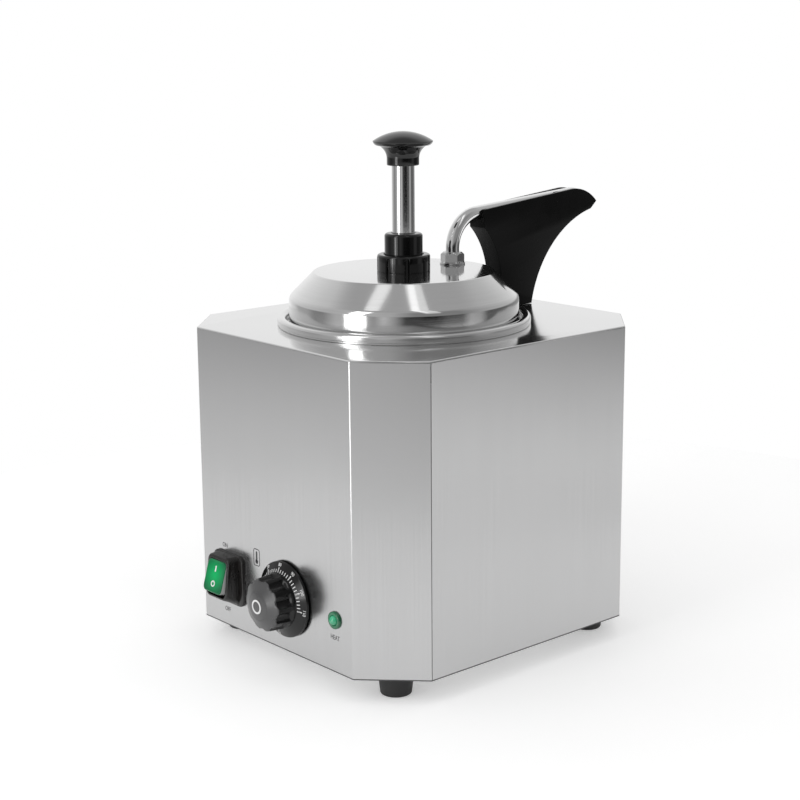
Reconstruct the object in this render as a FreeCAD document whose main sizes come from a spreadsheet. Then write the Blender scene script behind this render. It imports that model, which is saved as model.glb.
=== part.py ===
import FreeCAD
import Part
import Sketcher
import math
import os

# Hot fudge topping warmer: an eight-sided steel case that stands on four rubber feet, a heated
# well in its deck, a lift-out jar that hangs in the well, and a lid that carries a hand pump
# whose spout runs back through a moulded guard.
# +Z is up, -Y is the control side, +X is the operator's right. The origin lies on the surface
# that the feet stand on, in the middle of the whole outline. Every size is in millimetres.

SIZES = {
    # case
    "body_width": 225.0,
    "body_depth": 239.0,
    "body_height": 199.0,
    "corner_cut": 34.0,
    "shell_lift": 16.0,
    "panel_sheet": 1.0,
    "panel_bend": 2.4,
    "seam_gap": 0.6,
    "deck_sheet": 1.2,
    "deck_flange": 12.0,
    "base_sheet": 1.2,
    "base_recess": 2.0,
    "strip_sheet": 1.0,
    "strip_arm": 12.0,
    # clearances shared by every piece
    "fit_gap": 0.3,
    "run_gap": 0.06,
    "hole_gap": 0.25,
    "overrun": 2.0,
    # corner brackets and the base plate's screws
    "bracket_width": 16.0,
    "bracket_leg": 15.0,
    "bracket_sheet": 1.5,
    "bracket_shift": 14.0,
    "bracket_screw_inset": 9.0,
    "base_screw_radius": 1.5,
    "base_screw_length": 8.0,
    "base_screw_head_radius": 2.8,
    "base_screw_head_height": 1.7,
    "vent_length": 34.0,
    "vent_width": 3.0,
    "vent_pitch": 8.0,
    "vent_inset": 34.9,
    # feet
    "foot_inset_across": 31.6,
    "foot_inset_along": 32.4,
    "foot_top_radius": 12.0,
    "foot_bottom_radius": 9.9,
    "foot_edge_round": 1.2,
    "foot_well_radius": 5.0,
    "foot_well_depth": 9.0,
    "foot_screw_radius": 2.0,
    "foot_screw_head_radius": 3.8,
    "foot_screw_head_height": 2.6,
    "foot_nut_width": 7.0,
    "foot_nut_height": 3.2,
    # heated well
    "well_radius": 68.5,
    "well_floor_gap": 16.8,
    "well_sheet": 1.0,
    "well_corner": 10.0,
    "ledge_width": 9.5,
    "rim_width": 6.0,
    "rim_height": 5.6,
    "ledge_drop": 0.5,
    "band_height": 50.0,
    "band_thickness": 3.0,
    "band_lift": 9.0,
    "band_split": 6.0,
    "band_ear": 7.0,
    "band_ear_thickness": 1.6,
    "band_ear_height": 30.0,
    "clamp_screw_radius": 1.5,
    "clamp_head_radius": 2.7,
    "clamp_head_height": 2.0,
    "jacket_thickness": 10.6,
    "jacket_top_gap": 10.0,
    "jacket_slot": 18.0,
    # jar
    "jar_gap": 3.5,
    "jar_floor_gap": 6.5,
    "jar_sheet": 1.0,
    "jar_corner": 12.0,
    "jar_flange_gap": 1.0,
    # thermostat
    "control_height": 35.3,
    "thermostat_radius": 17.0,
    "thermostat_depth": 21.0,
    "thermostat_clear": 6.64,
    "thermostat_plate_width": 42.0,
    "thermostat_plate_height": 24.0,
    "thermostat_plate": 1.5,
    "thermostat_screw_spread": 28.0,
    "thermostat_screw_radius": 1.5,
    "thermostat_screw_length": 5.0,
    "thermostat_head_radius": 2.8,
    "thermostat_head_height": 1.3,
    "shaft_radius": 3.0,
    "shaft_hole_gap": 1.0,
    "shaft_inner_reach": 12.0,
    "shaft_outer_reach": 16.0,
    "bulb_radius": 3.0,
    "bulb_chamfer": 1.0,
    "bulb_top_gap": 32.0,
    "bulb_band_gap": 9.0,
    "clip_sheet": 0.8,
    "clip_width": 6.0,
    "clip_inset": 17.0,
    "capillary_radius": 0.9,
    "capillary_drop": 9.0,
    "capillary_bend": 6.5,
    "capillary_clear": 6.0,
    "capillary_rise": 9.0,
    "capillary_back": 15.0,
    # dial
    "dial_radius": 24.7,
    "dial_stand": 1.0,
    "dial_edge": 1.5,
    "dial_cone": 3.2,
    "grip_base_radius": 17.6,
    "grip_tip_radius": 16.9,
    "grip_length": 13.4,
    "grip_edge_round": 1.4,
    "grip_crown": 3.6,
    "dial_cap_radius": 9.0,
    "dial_cap_proud": 0.9,
    "dial_cap_seat": 1.2,
    "flute_radius": 5.5,
    "flute_depth": 2.3,
    "flute_lift": 2.0,
    "dial_hollow_radius": 21.0,
    "dial_hollow_depth": 2.6,
    # switch
    "switch_height": 34.25,
    "switch_flange_width": 32.5,
    "switch_flange_length": 34.5,
    "switch_flange": 1.5,
    "switch_corner": 5.0,
    "switch_hood_width": 23.5,
    "switch_hood_top": 16.95,
    "switch_hood_top_reach": 9.3,
    "switch_hood_low": 10.65,
    "switch_hood_low_reach": 12.7,
    "switch_hood_foot": 16.5,
    "switch_body_width": 22.6,
    "switch_body_length": 30.0,
    "switch_body_depth": 24.0,
    "switch_window_width": 19.3,
    "switch_window_top": 13.9,
    "switch_window_low": 9.5,
    "switch_window_depth": 5.0,
    "rocker_width": 18.5,
    "rocker_length": 20.8,
    "rocker_face": 10.2,
    "rocker_dish": 0.5,
    "rocker_shoulder": 4.5,
    "rocker_heel": 3.5,
    "rocker_heel_length": 10.0,
    "rocker_round": 1.0,
    "rocker_pivot_height": 1.05,
    "rocker_pivot_reach": 2.0,
    "rocker_tilt": 13.3,
    "rocker_pin_radius": 1.2,
    "rocker_pin_length": 21.4,
    "terminal_tab_width": 6.3,
    "terminal_tab_sheet": 0.8,
    "terminal_tab_length": 9.0,
    "terminal_tab_pitch": 8.0,
    # pilot light
    "pilot_height": 34.2,
    "pilot_radius": 5.6,
    "pilot_flange": 1.6,
    "pilot_barrel_radius": 4.0,
    "pilot_barrel_length": 17.0,
    "pilot_wall": 0.9,
    "pilot_dome": 2.2,
    "pilot_lens_seat": 5.0,
    "pilot_nut_radius": 6.4,
    "pilot_nut_height": 2.4,
    # wiring block, earth stud and cord gland at the back
    "block_width": 36.0,
    "block_depth": 18.0,
    "block_height": 14.0,
    "block_inset": 66.5,
    "block_back": 22.0,
    "block_screw_radius": 2.0,
    "block_screw_length": 6.0,
    "block_screw_head_radius": 3.1,
    "block_screw_head_height": 1.8,
    "stud_radius": 2.0,
    "stud_length": 16.0,
    "stud_head_radius": 3.8,
    "stud_head_height": 1.4,
    "stud_nut_width": 7.0,
    "stud_nut_height": 3.2,
    "stud_side": 6.0,
    "gland_inset": 60.5,
    "gland_height": 36.0,
    "gland_radius": 7.0,
    "gland_bore_radius": 4.0,
    "gland_flange_radius": 9.5,
    "gland_flange": 3.0,
    "gland_length": 15.0,
    "gland_nut_width": 19.0,
    "gland_nut_height": 4.0,
    # lid
    "lid_gap": 1.9,
    "lid_sheet": 0.8,
    "lid_band_height": 17.3,
    "lid_cone_height": 16.4,
    "lid_cone_width": 16.4,
    "lid_shoulder_round": 6.0,
    "lid_edge_round": 1.6,
    # pump
    "cylinder_radius": 14.0,
    "cylinder_wall": 1.2,
    "valve_floor_gap": 26.7,
    "cylinder_thread": 8.0,
    "cylinder_flange_radius": 19.0,
    "cylinder_flange": 1.6,
    "collar_radius": 17.5,
    "collar_height": 11.0,
    "collar_round": 2.6,
    "collar_groove_width": 1.8,
    "collar_groove_depth": 1.3,
    "guide_radius": 12.6,
    "guide_flange_radius": 13.7,
    "guide_flange": 1.0,
    "guide_height": 13.8,
    "guide_chamfer": 2.0,
    "guide_spigot": 12.0,
    "stem_radius": 7.5,
    "stem_wall": 1.2,
    "knob_stop_gap": 2.2,
    "stroke": 42.0,
    "knob_radius": 19.7,
    "knob_skirt_radius": 10.6,
    "knob_skirt_height": 4.8,
    "knob_neck_radius": 13.6,
    "knob_neck_height": 11.2,
    "knob_under_radius": 17.6,
    "knob_under_height": 13.0,
    "knob_rim_height": 15.8,
    "knob_height": 22.0,
    "knob_socket": 9.0,
    "piston_height": 9.0,
    "piston_wall": 2.2,
    "piston_lip": 0.75,
    "piston_drop": 70.0,
    "piston_nut_width": 12.0,
    "piston_nut_height": 4.0,
    "spring_wire": 1.4,
    "spring_radius": 9.4,
    "valve_radius": 15.6,
    "valve_height": 26.0,
    "valve_sleeve": 8.0,
    "valve_throat_radius": 4.2,
    "ball_radius": 5.5,
    "ball_seat_lift": 6.0,
    "ball_chamber_radius": 7.4,
    "cage_wire": 1.0,
    "cage_rim": 2.0,
    # discharge tube
    "tube_radius": 4.55,
    "tube_wall": 0.9,
    "tube_inset": 15.9,
    "port_drop": 6.0,
    "tube_elbow": 12.0,
    "tube_bend": 22.9,
    "tube_bend_lift": 44.1,
    "tube_slope": 4.0,
    "tube_reach": 73.08,
    "tube_tip_bend": 16.0,
    "tube_tip_turn": 50.0,
    "spout_nut_width": 14.0,
    "spout_nut_height": 7.0,
    "spout_flange_radius": 8.6,
    "spout_flange": 1.2,
    "lock_nut_width": 14.0,
    "lock_nut_height": 4.0,
    # spout guard
    "guard_width": 14.8,
    "guard_wall": 2.0,
    "guard_overhang": 17.0,
    "guard_top": 69.4,
    "guard_slope": 5.4,
    "guard_crest_reach": 70.0,
    "guard_reach": 94.8,
    "guard_tip_height": 67.5,
    "guard_lip_inset": 5.9,
    "guard_lip_height": 62.3,
    "guard_foot_gap": 2.6,
    "guard_foot_length": 26.4,
    "guard_waist_inset": 0.9,
    "guard_waist_height": 20.0,
    "guard_chin_height": 57.0,
    "guard_floor": 2.0,
    "cradle_length": 4.0,
    "cradle_reach": 54.0,
    "guard_pad_gap": 0.3,
}

# shares and counts
BEND_SHARE = math.tan(math.radians(22.5))
QUARTER_BULGE = math.tan(math.radians(22.5))
GUARD_BULGE = 0.30
NOSE_BULGE = 0.22
CHIN_BULGE = 0.19
CAP_BULGE = 0.2
KNOB_NECK_BULGE = -0.2
KNOB_RIM_BULGE = 0.25
DECK_ROUND_SHARE = 0.8
# places across the flat of the control panel, from its middle
SWITCH_SHARE = -0.6147
DIAL_SHARE = 0.1567
PILOT_SHARE = 0.7847
HEX_SHARE = 1 / math.sqrt(3)
VENT_COUNT = 7
FLUTE_COUNT = 10
GROOVE_COUNT = 8
SPRING_TURNS = 11
TERMINAL_COUNT = 3
BLOCK_SCREWS = 3


class Length:
    """A length with the expression that gives it from the sheet."""

    def __init__(self, value, text):
        self.value = value
        self.text = text

    @staticmethod
    def of(other):
        if isinstance(other, Length):
            return other
        return Length(float(other), repr(float(other)))

    def __add__(self, other):
        other = Length.of(other)
        return Length(self.value + other.value, f"({self.text} + {other.text})")

    def __sub__(self, other):
        other = Length.of(other)
        return Length(self.value - other.value, f"({self.text} - {other.text})")

    def __mul__(self, factor):
        factor = Length.of(factor)
        return Length(self.value * factor.value, f"({self.text} * {factor.text})")

    def __truediv__(self, factor):
        factor = Length.of(factor)
        return Length(self.value / factor.value, f"({self.text} / {factor.text})")

    def __neg__(self):
        return Length(-self.value, f"(0 - {self.text})")

    __rmul__ = __mul__


ZERO = Length(0.0, "0")
RIGHT_ANGLE = Length(90.0, "90")


def hypotenuse(across, along):
    text = f"sqrt({across.text} * {across.text} + {along.text} * {along.text})"
    return Length(math.hypot(across.value, along.value), text)


def leg(longest, other):
    value = math.sqrt(longest.value ** 2 - other.value ** 2)
    text = f"sqrt({longest.text} * {longest.text} - {other.text} * {other.text})"
    return Length(value, text)


def dome(radius, rise):
    """The bulge of an arc that meets the axis square, for a dome of this radius and rise."""
    return (hypotenuse(radius, rise) - radius) / rise


def sine(angle):
    return Length(math.sin(math.radians(angle.value)), f"sin({angle.text} * 1deg)")


def cosine(angle):
    return Length(math.cos(math.radians(angle.value)), f"cos({angle.text} * 1deg)")


class Sheet:
    """The document's spreadsheet of driving sizes."""

    def __init__(self, document):
        self.sheet = document.addObject("Spreadsheet::Sheet", "Sizes")
        for row, (alias, value) in enumerate(SIZES.items(), start=1):
            self.sheet.set(f"A{row}", alias)
            self.sheet.set(f"B{row}", str(value))
            self.sheet.setAlias(f"B{row}", alias)
        document.recompute()

    def __getattr__(self, alias):
        if alias.startswith("__"):
            raise AttributeError(alias)
        return Length(float(self.sheet.get(alias)), f"Sizes.{alias}")


doc = FreeCAD.newDocument("topping_warmer")
s = Sheet(doc)
NODES = []


# Helpers for bodies, sketches and features

def bind(item, path, length):
    """Tie one property of an object to the sheet."""
    item.setExpression(path, length.text)


def place(item, x=ZERO, y=ZERO, z=ZERO, turn=None):
    """Put an object at x, y, z, turned by an axis and an angle."""
    if turn is not None:
        item.Placement = FreeCAD.Placement(FreeCAD.Vector(), FreeCAD.Rotation(*turn))
    for name, value in (("x", x), ("y", y), ("z", z)):
        bind(item, f"Placement.Base.{name}", value)


def node(item, label):
    """Name an object as a piece of the warmer."""
    item.Label = label
    NODES.append(item)
    return item


def new_body(label):
    """Start a piece as a body of its own."""
    return node(doc.addObject("PartDesign::Body", label), label)


def origin_item(body, role):
    """Find a plane or axis of a body's own origin."""
    return [item for item in body.Origin.OriginFeatures if item.Role == role][0]


def new_sketch(body, plane="XZ_Plane", offset=None):
    """Start a sketch on one of the body's own planes, moved along its normal."""
    sketch = body.newObject("Sketcher::SketchObject", f"{body.Name}_sketch")
    sketch.AttachmentSupport = [(origin_item(body, plane), "")]
    sketch.MapMode = "FlatFace"
    if offset is not None:
        bind(sketch, "AttachmentOffset.Base.z", offset)
    return sketch


def fix_point(sketch, index, position, x, y):
    """Hold a point of a sketch at x, y from the sheet."""
    for kind, value in (("DistanceX", x), ("DistanceY", y)):
        number = sketch.addConstraint(Sketcher.Constraint(kind, -1, 1, index, position, value.value))
        if value.text != ZERO.text:
            sketch.setExpression(f"Constraints[{number}]", value.text)


def fix_radius(sketch, index, radius):
    """Hold the radius of a circle or an arc."""
    number = sketch.addConstraint(Sketcher.Constraint("Radius", index, radius.value))
    sketch.setExpression(f"Constraints[{number}]", radius.text)


def arc_between(first, last, bulge):
    """A counter-clockwise arc whose sagitta is bulge times half its chord."""
    chord = last - first
    side = FreeCAD.Vector(chord.y, -chord.x, 0)
    middle = (first + last) * 0.5 + side * (bulge / 2)
    return Part.Arc(first, middle, last)


def outline(sketch, points):
    """Draw a closed outline of (x, y) or (x, y, bulge of the side that leaves the point)."""
    start = sketch.GeometryCount
    count = len(points)
    ends = []
    for number, point in enumerate(points):
        following = points[(number + 1) % count]
        first = FreeCAD.Vector(point[0].value, point[1].value, 0)
        last = FreeCAD.Vector(following[0].value, following[1].value, 0)
        bulge = Length.of(point[2] if len(point) > 2 else 0).value
        if bulge == 0:
            sketch.addGeometry(Part.LineSegment(first, last), False)
            ends.append((1, 2))
        elif bulge > 0:
            sketch.addGeometry(arc_between(first, last, bulge), False)
            ends.append((1, 2))
        else:
            sketch.addGeometry(arc_between(last, first, -bulge), False)
            ends.append((2, 1))
    for number, point in enumerate(points):
        before = (number - 1) % count
        join = Sketcher.Constraint("Coincident", start + before, ends[before][1],
                                   start + number, ends[number][0])
        sketch.addConstraint(join)
        fix_point(sketch, start + number, ends[number][0], point[0], point[1])
    for number, point in enumerate(points):
        bulge = Length.of(point[2] if len(point) > 2 else 0)
        if bulge.value:
            sign = 1 if bulge.value > 0 else -1
            following = points[(number + 1) % count]
            chord = hypotenuse(following[0] - point[0], following[1] - point[1])
            fix_radius(sketch, start + number, chord * (bulge * bulge + 1) / (bulge * (4 * sign)))
    return sketch


def circle(sketch, x, y, radius):
    """Draw a circle."""
    centre = FreeCAD.Vector(x.value, y.value, 0)
    ring = Part.Circle(centre, FreeCAD.Vector(0, 0, 1), radius.value)
    index = sketch.addGeometry(ring, False)
    fix_point(sketch, index, 3, x, y)
    fix_radius(sketch, index, radius)
    return sketch


def rectangle(sketch, left, right, low, high):
    """Draw an upright rectangle."""
    return outline(sketch, [(left, low), (right, low), (right, high), (left, high)])


def box_about(sketch, x, y, width, height):
    """Draw a rectangle about a centre."""
    return rectangle(sketch, x - width / 2, x + width / 2, y - height / 2, y + height / 2)


def hexagon(sketch, width):
    """Draw a hexagon by its width across flats."""
    reach = width * HEX_SHARE
    half = width / 2
    points = [(reach, ZERO), (reach / 2, half), (-reach / 2, half),
              (-reach, ZERO), (-reach / 2, -half), (reach / 2, -half)]
    return outline(sketch, points)


def volume(body):
    """The volume of a body so far."""
    doc.recompute()
    return body.Shape.Volume


def pad(body, sketch, length, reverse=False, middle=False, taper=None):
    """Raise a sketch into a solid."""
    feature = body.newObject("PartDesign::Pad", f"{body.Name}_pad")
    feature.Profile = sketch
    bind(feature, "Length", length)
    feature.Reversed = reverse
    feature.Midplane = middle
    if taper is not None:
        bind(feature, "TaperAngle", taper)
    doc.recompute()
    return feature


def pocket(body, sketch, length=None, reverse=False, middle=False):
    """Cut a sketch into a body, through all of it where no length is given."""
    before = volume(body)
    feature = body.newObject("PartDesign::Pocket", f"{body.Name}_pocket")
    feature.Profile = sketch
    feature.Reversed = reverse
    feature.Midplane = middle
    if length is None:
        feature.Type = "ThroughAll"
    else:
        bind(feature, "Length", length)
    if volume(body) >= before:
        raise ValueError(f"{body.Label}: a pocket cut nothing")
    return feature


def revolve(body, sketch):
    """Turn a sketch about the body's upright axis."""
    feature = body.newObject("PartDesign::Revolution", f"{body.Name}_turn")
    feature.Profile = sketch
    feature.ReferenceAxis = (sketch, ["V_Axis"])
    feature.Angle = 360
    doc.recompute()
    return feature


def around(body, feature, count):
    """Repeat a feature about the body's upright axis."""
    pattern = body.newObject("PartDesign::PolarPattern", f"{body.Name}_ring")
    pattern.Originals = [feature]
    pattern.Axis = (origin_item(body, "Z_Axis"), [""])
    pattern.Angle = 360
    pattern.Occurrences = count
    body.Tip = pattern
    doc.recompute()
    return pattern


def edges_where(body, test):
    """Names of the edges of a body's last feature that pass a test."""
    doc.recompute()
    edges = enumerate(body.Tip.Shape.Edges, start=1)
    return [f"Edge{number}" for number, edge in edges if test(edge)]


def dress(body, kind, size_name, size, test):
    """Add a fillet or a chamfer on the edges that pass a test."""
    names = edges_where(body, test)
    if not names:
        raise ValueError(f"{body.Label}: no edge to dress")
    base = body.Tip
    feature = body.newObject(f"PartDesign::{kind}", f"{body.Name}_{kind.lower()}")
    feature.Base = (base, names)
    bind(feature, size_name, size)
    doc.recompute()
    return feature


def fillet(body, radius, test):
    """Round the edges that pass a test."""
    return dress(body, "Fillet", "Radius", radius, test)


def chamfer(body, size, test):
    """Bevel the edges that pass a test."""
    return dress(body, "Chamfer", "Size", size, test)


def edge_middle(edge):
    """The middle of an edge."""
    return edge.valueAt((edge.FirstParameter + edge.LastParameter) / 2)


def near(value, target, reach=0.01):
    """Whether two numbers agree."""
    return abs(value - target) < reach


def upright(edge):
    """Whether an edge is a straight upright one."""
    first, last = edge.Vertexes[0].Point, edge.Vertexes[-1].Point
    return near(first.x, last.x) and near(first.y, last.y) and not near(first.z, last.z)


def at_height(height):
    """A test for the edges that lie at one height."""
    def test(edge):
        return all(near(vertex.Z, height.value) for vertex in edge.Vertexes) and \
            near(edge_middle(edge).z, height.value)
    return test


def round_at(height, radius):
    """A test for the round edges at one height and radius from the upright axis."""
    def test(edge):
        middle = edge_middle(edge)
        return near(middle.z, height.value) and near(math.hypot(middle.x, middle.y), radius.value)
    return test


def turned(label, points, y=None, z=None, turn=None, x=ZERO):
    """A turned piece from its half outline of (radius, height) points."""
    body = new_body(label)
    revolve(body, outline(new_sketch(body), points))
    place(body, x, ZERO if y is None else y, ZERO if z is None else z, turn)
    return body


def template(label):
    """A body that only lends its shape to the copies of a set."""
    body = doc.addObject("PartDesign::Body", f"{label}_pattern")
    body.Label = f"{label}_pattern"
    return body


def copies(label, pattern, places):
    """A set of equal pieces in one node, at (x, y, z) or (x, y, z, turn)."""
    links = []
    for spot in places:
        link = doc.addObject("App::Link", f"{label}_copy")
        link.LinkedObject = pattern
        link.LinkTransform = True
        turn = spot[3] if len(spot) > 3 else None
        place(link, spot[0], spot[1], spot[2], turn)
        links.append(link)
    group = doc.addObject("Part::Compound", label)
    group.Links = links
    return node(group, label)


# Shared places, worked out from the driving sizes

deck_top = s.shell_lift + s.body_height
well_depth = s.body_height - s.base_recess - s.base_sheet - s.well_floor_gap - s.well_sheet
well_outer = s.well_radius + s.well_sheet
band_inner = well_outer + s.run_gap
jacket_inner = band_inner + s.band_thickness + s.fit_gap
jacket_outer = jacket_inner + s.jacket_thickness
rim_mouth = s.well_radius + s.ledge_width
rim_outer = rim_mouth + s.rim_width
lid_radius = rim_mouth - s.lid_gap
lid_top_radius = lid_radius - s.lid_cone_width
tube_y = lid_top_radius - s.tube_inset
well_front = s.panel_sheet + s.thermostat_depth + s.thermostat_clear + jacket_outer
well_forward = s.body_depth / 2 - well_front
guard_front = rim_outer - s.guard_overhang
guard_crest = rim_outer + s.guard_crest_reach
guard_tip = rim_outer + s.guard_reach
dial_front = (s.dial_stand + s.dial_edge + s.dial_cone + s.grip_length + s.grip_crown
              + s.dial_cap_proud)
front_reach = s.body_depth / 2 + dial_front
back_reach = guard_tip - well_forward
body_y = (front_reach - back_reach) / 2
well_y = body_y - well_forward
front_y = body_y - s.body_depth / 2
back_y = body_y + s.body_depth / 2
panel_inner_y = front_y + s.panel_sheet
base_bottom = s.shell_lift + s.base_recess
base_top = base_bottom + s.base_sheet
panel_top = deck_top - s.deck_sheet
ledge_top = -s.ledge_drop
lid_foot = ledge_top + s.jar_sheet
jar_radius = s.well_radius - s.jar_gap - s.jar_sheet
jar_floor = s.jar_floor_gap + s.jar_sheet - well_depth
lid_band_top = lid_foot + s.lid_band_height
lid_top = lid_band_top + s.lid_cone_height
control_z = s.shell_lift + s.control_height
switch_z = s.shell_lift + s.switch_height
pilot_z = s.shell_lift + s.pilot_height
panel_half = s.body_width / 2 - s.corner_cut
switch_x = panel_half * SWITCH_SHARE
dial_x = panel_half * DIAL_SHARE
pilot_x = panel_half * PILOT_SHARE
face_front = (FreeCAD.Vector(1, 0, 0), 90)
face_back = (FreeCAD.Vector(1, 0, 0), -90)


def case_corners(inset):
    """The eight corners of the case's outline, from the right seam round by the back."""
    half_width = s.body_width / 2 - inset
    half_depth = s.body_depth / 2 - inset
    cut = s.corner_cut - inset * (1 - BEND_SHARE)
    return [(half_width, cut - half_depth), (half_width, half_depth - cut),
            (half_width - cut, half_depth), (cut - half_width, half_depth),
            (-half_width, half_depth - cut), (-half_width, cut - half_depth),
            (cut - half_width, -half_depth), (half_width - cut, -half_depth)]


def raised(point, lift):
    """A plan point moved towards the back."""
    return (point[0], point[1] + lift)


def near_corner(corners, reach):
    """A test for the upright edges close to given corners of a plan."""
    spots = [(x.value, y.value) for x, y in corners]

    def test(edge):
        middle = edge_middle(edge)
        return upright(edge) and any(math.hypot(middle.x - x, middle.y - y) < reach.value
                                     for x, y in spots)
    return test


# The case

def make_front_panel():
    """One folded sheet: the control panel and the two front corners."""
    body = new_body("front_panel")
    outer = case_corners(ZERO)
    inner = case_corners(s.panel_sheet)
    points = outer[5:] + [outer[0], inner[0]] + inner[:4:-1]
    pad(body, outline(new_sketch(body, "XY_Plane"), points), s.body_height - s.deck_sheet)
    fillet(body, s.panel_bend, near_corner(outer[6:], s.panel_sheet / 2))
    fillet(body, s.panel_bend - s.panel_sheet, near_corner(inner[6:], s.panel_sheet / 2))
    holes = new_sketch(body)
    box_about(holes, switch_x, s.switch_height, s.switch_body_width + s.fit_gap * 2,
              s.switch_body_length + s.fit_gap * 2)
    circle(holes, dial_x, s.control_height, s.shaft_radius + s.shaft_hole_gap)
    for side in (-1, 1):
        circle(holes, dial_x + s.thermostat_screw_spread / 2 * side, s.control_height,
               s.thermostat_screw_radius + s.hole_gap)
    circle(holes, pilot_x, s.pilot_height, s.pilot_barrel_radius + s.hole_gap)
    pocket(body, holes, reverse=True)
    place(body, y=body_y, z=s.shell_lift)


def make_rear_wrap():
    """One folded sheet: both sides, the back and the two rear corners."""
    body = new_body("rear_wrap")
    outer = case_corners(ZERO)
    inner = case_corners(s.panel_sheet)
    outer_run = [raised(outer[0], s.seam_gap)] + outer[1:5] + [raised(outer[5], s.seam_gap)]
    inner_run = [raised(inner[0], s.seam_gap)] + inner[1:5] + [raised(inner[5], s.seam_gap)]
    points = outer_run + inner_run[::-1]
    pad(body, outline(new_sketch(body, "XY_Plane"), points), s.body_height - s.deck_sheet)
    fillet(body, s.panel_bend, near_corner(outer[1:5], s.panel_sheet / 2))
    fillet(body, s.panel_bend - s.panel_sheet, near_corner(inner[1:5], s.panel_sheet / 2))
    hole = circle(new_sketch(body), s.body_width / 2 - s.gland_inset, s.gland_height,
                  s.gland_radius + s.hole_gap)
    pocket(body, hole)
    place(body, y=body_y, z=s.shell_lift)


def make_top_deck():
    """The deck: a pan with a flange inside the panels and a hole for the well."""
    body = new_body("top_deck")
    pad(body, outline(new_sketch(body, "XY_Plane"), case_corners(ZERO)), s.deck_sheet)
    corners = case_corners(ZERO)
    fillet(body, s.panel_bend, near_corner(corners[1:5] + corners[6:], s.panel_sheet / 2))
    fillet(body, s.deck_sheet * DECK_ROUND_SHARE, at_height(s.deck_sheet))
    flange = new_sketch(body, "XY_Plane")
    outline(flange, case_corners(s.panel_sheet + s.fit_gap))
    outline(flange, case_corners(s.panel_sheet + s.fit_gap + s.deck_sheet))
    pad(body, flange, s.deck_flange, reverse=True)
    mouth = circle(new_sketch(body, "XY_Plane"), ZERO, -well_forward,
                   rim_mouth + s.well_sheet + s.fit_gap)
    pocket(body, mouth, reverse=True)
    place(body, y=body_y, z=panel_top)


def bracket_spots():
    """Plan places and turns of the brackets, on the corner faces beside the feet."""
    reach_x = s.body_width / 2 - s.corner_cut / 2
    reach_y = s.body_depth / 2 - s.corner_cut / 2
    inset = (s.panel_sheet + s.fit_gap) * math.sqrt(0.5)
    shift = s.bracket_shift * math.sqrt(0.5)
    upright_axis = FreeCAD.Vector(0, 0, 1)
    spots = []
    for side, end, angle in ((1, 1, 45), (-1, 1, 135), (-1, -1, 225), (1, -1, 315)):
        spots.append(((reach_x - inset - shift) * side, (reach_y - inset + shift) * end,
                      (upright_axis, angle)))
    return spots


def screw_spots():
    """Plan places of the four base screws."""
    inset = s.bracket_screw_inset * math.sqrt(0.5)
    spots = []
    for x, y, _ in bracket_spots():
        side = 1 if x.value > 0 else -1
        end = 1 if y.value > 0 else -1
        spots.append((x - inset * side, y - inset * end))
    return spots


def foot_spots():
    """Names and plan places of the four feet."""
    across = s.body_width / 2 - s.foot_inset_across
    along = s.body_depth / 2 - s.foot_inset_along
    spots = {}
    for end_name, end in (("front", -1), ("rear", 1)):
        for side_name, side in (("left", -1), ("right", 1)):
            spots[f"{end_name}_{side_name}"] = (across * side, along * end)
    return spots


def make_base_plate():
    """The base plate, set up inside the panels, with vents and screw holes."""
    body = new_body("base_plate")
    plan = outline(new_sketch(body, "XY_Plane"), case_corners(s.panel_sheet + s.fit_gap))
    pad(body, plan, s.base_sheet)
    holes = new_sketch(body, "XY_Plane")
    for x, y in screw_spots():
        circle(holes, x, y, s.base_screw_radius + s.hole_gap)
    for x, y in foot_spots().values():
        circle(holes, x, y, s.foot_screw_radius + s.hole_gap)
    for number in range(VENT_COUNT):
        across = s.vent_pitch * (number - (VENT_COUNT - 1) / 2)
        box_about(holes, across, s.vent_inset + s.vent_length / 2 - s.body_depth / 2,
                  s.vent_width, s.vent_length)
    circle(holes, s.stud_side, s.body_depth / 2 - s.block_back, s.stud_radius + s.hole_gap)
    pocket(body, holes, reverse=True)
    place(body, y=body_y, z=base_bottom)


def make_corner_brackets():
    """Four angles that tie the base plate to the corner faces."""
    pattern = template("corner_brackets")
    profile = new_sketch(pattern)
    sheet = s.bracket_sheet
    outline(profile, [(ZERO, ZERO), (ZERO, s.bracket_leg), (-sheet, s.bracket_leg),
                      (-sheet, sheet), (-s.bracket_leg, sheet), (-s.bracket_leg, ZERO)])
    pad(pattern, profile, s.bracket_width, middle=True)
    hole = circle(new_sketch(pattern, "XY_Plane"), -s.bracket_screw_inset, ZERO,
                  s.base_screw_radius + s.run_gap)
    pocket(pattern, hole, reverse=True)
    places = [(x, y + body_y, base_top, turn) for x, y, turn in bracket_spots()]
    copies("corner_brackets", pattern, places)


def screw_outline(radius, length, head_radius, head_height):
    """Half outline of a pan head screw that points up from under its head."""
    crown = head_height / 2
    return [(ZERO, -head_height), (head_radius - crown, -head_height, QUARTER_BULGE),
            (head_radius, -crown), (head_radius, ZERO), (radius, ZERO), (radius, length),
            (ZERO, length)]


def screw_pattern(label, radius, length, head_radius, head_height):
    """The shape that a set of screws shares."""
    pattern = template(label)
    points = screw_outline(radius, length, head_radius, head_height)
    revolve(pattern, outline(new_sketch(pattern), points))
    return pattern


def nut_pattern(label, width, height, bore):
    """The shape that a set of nuts shares."""
    pattern = template(label)
    plan = hexagon(new_sketch(pattern, "XY_Plane"), width)
    circle(plan, ZERO, ZERO, bore)
    pad(pattern, plan, height)
    return pattern


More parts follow.
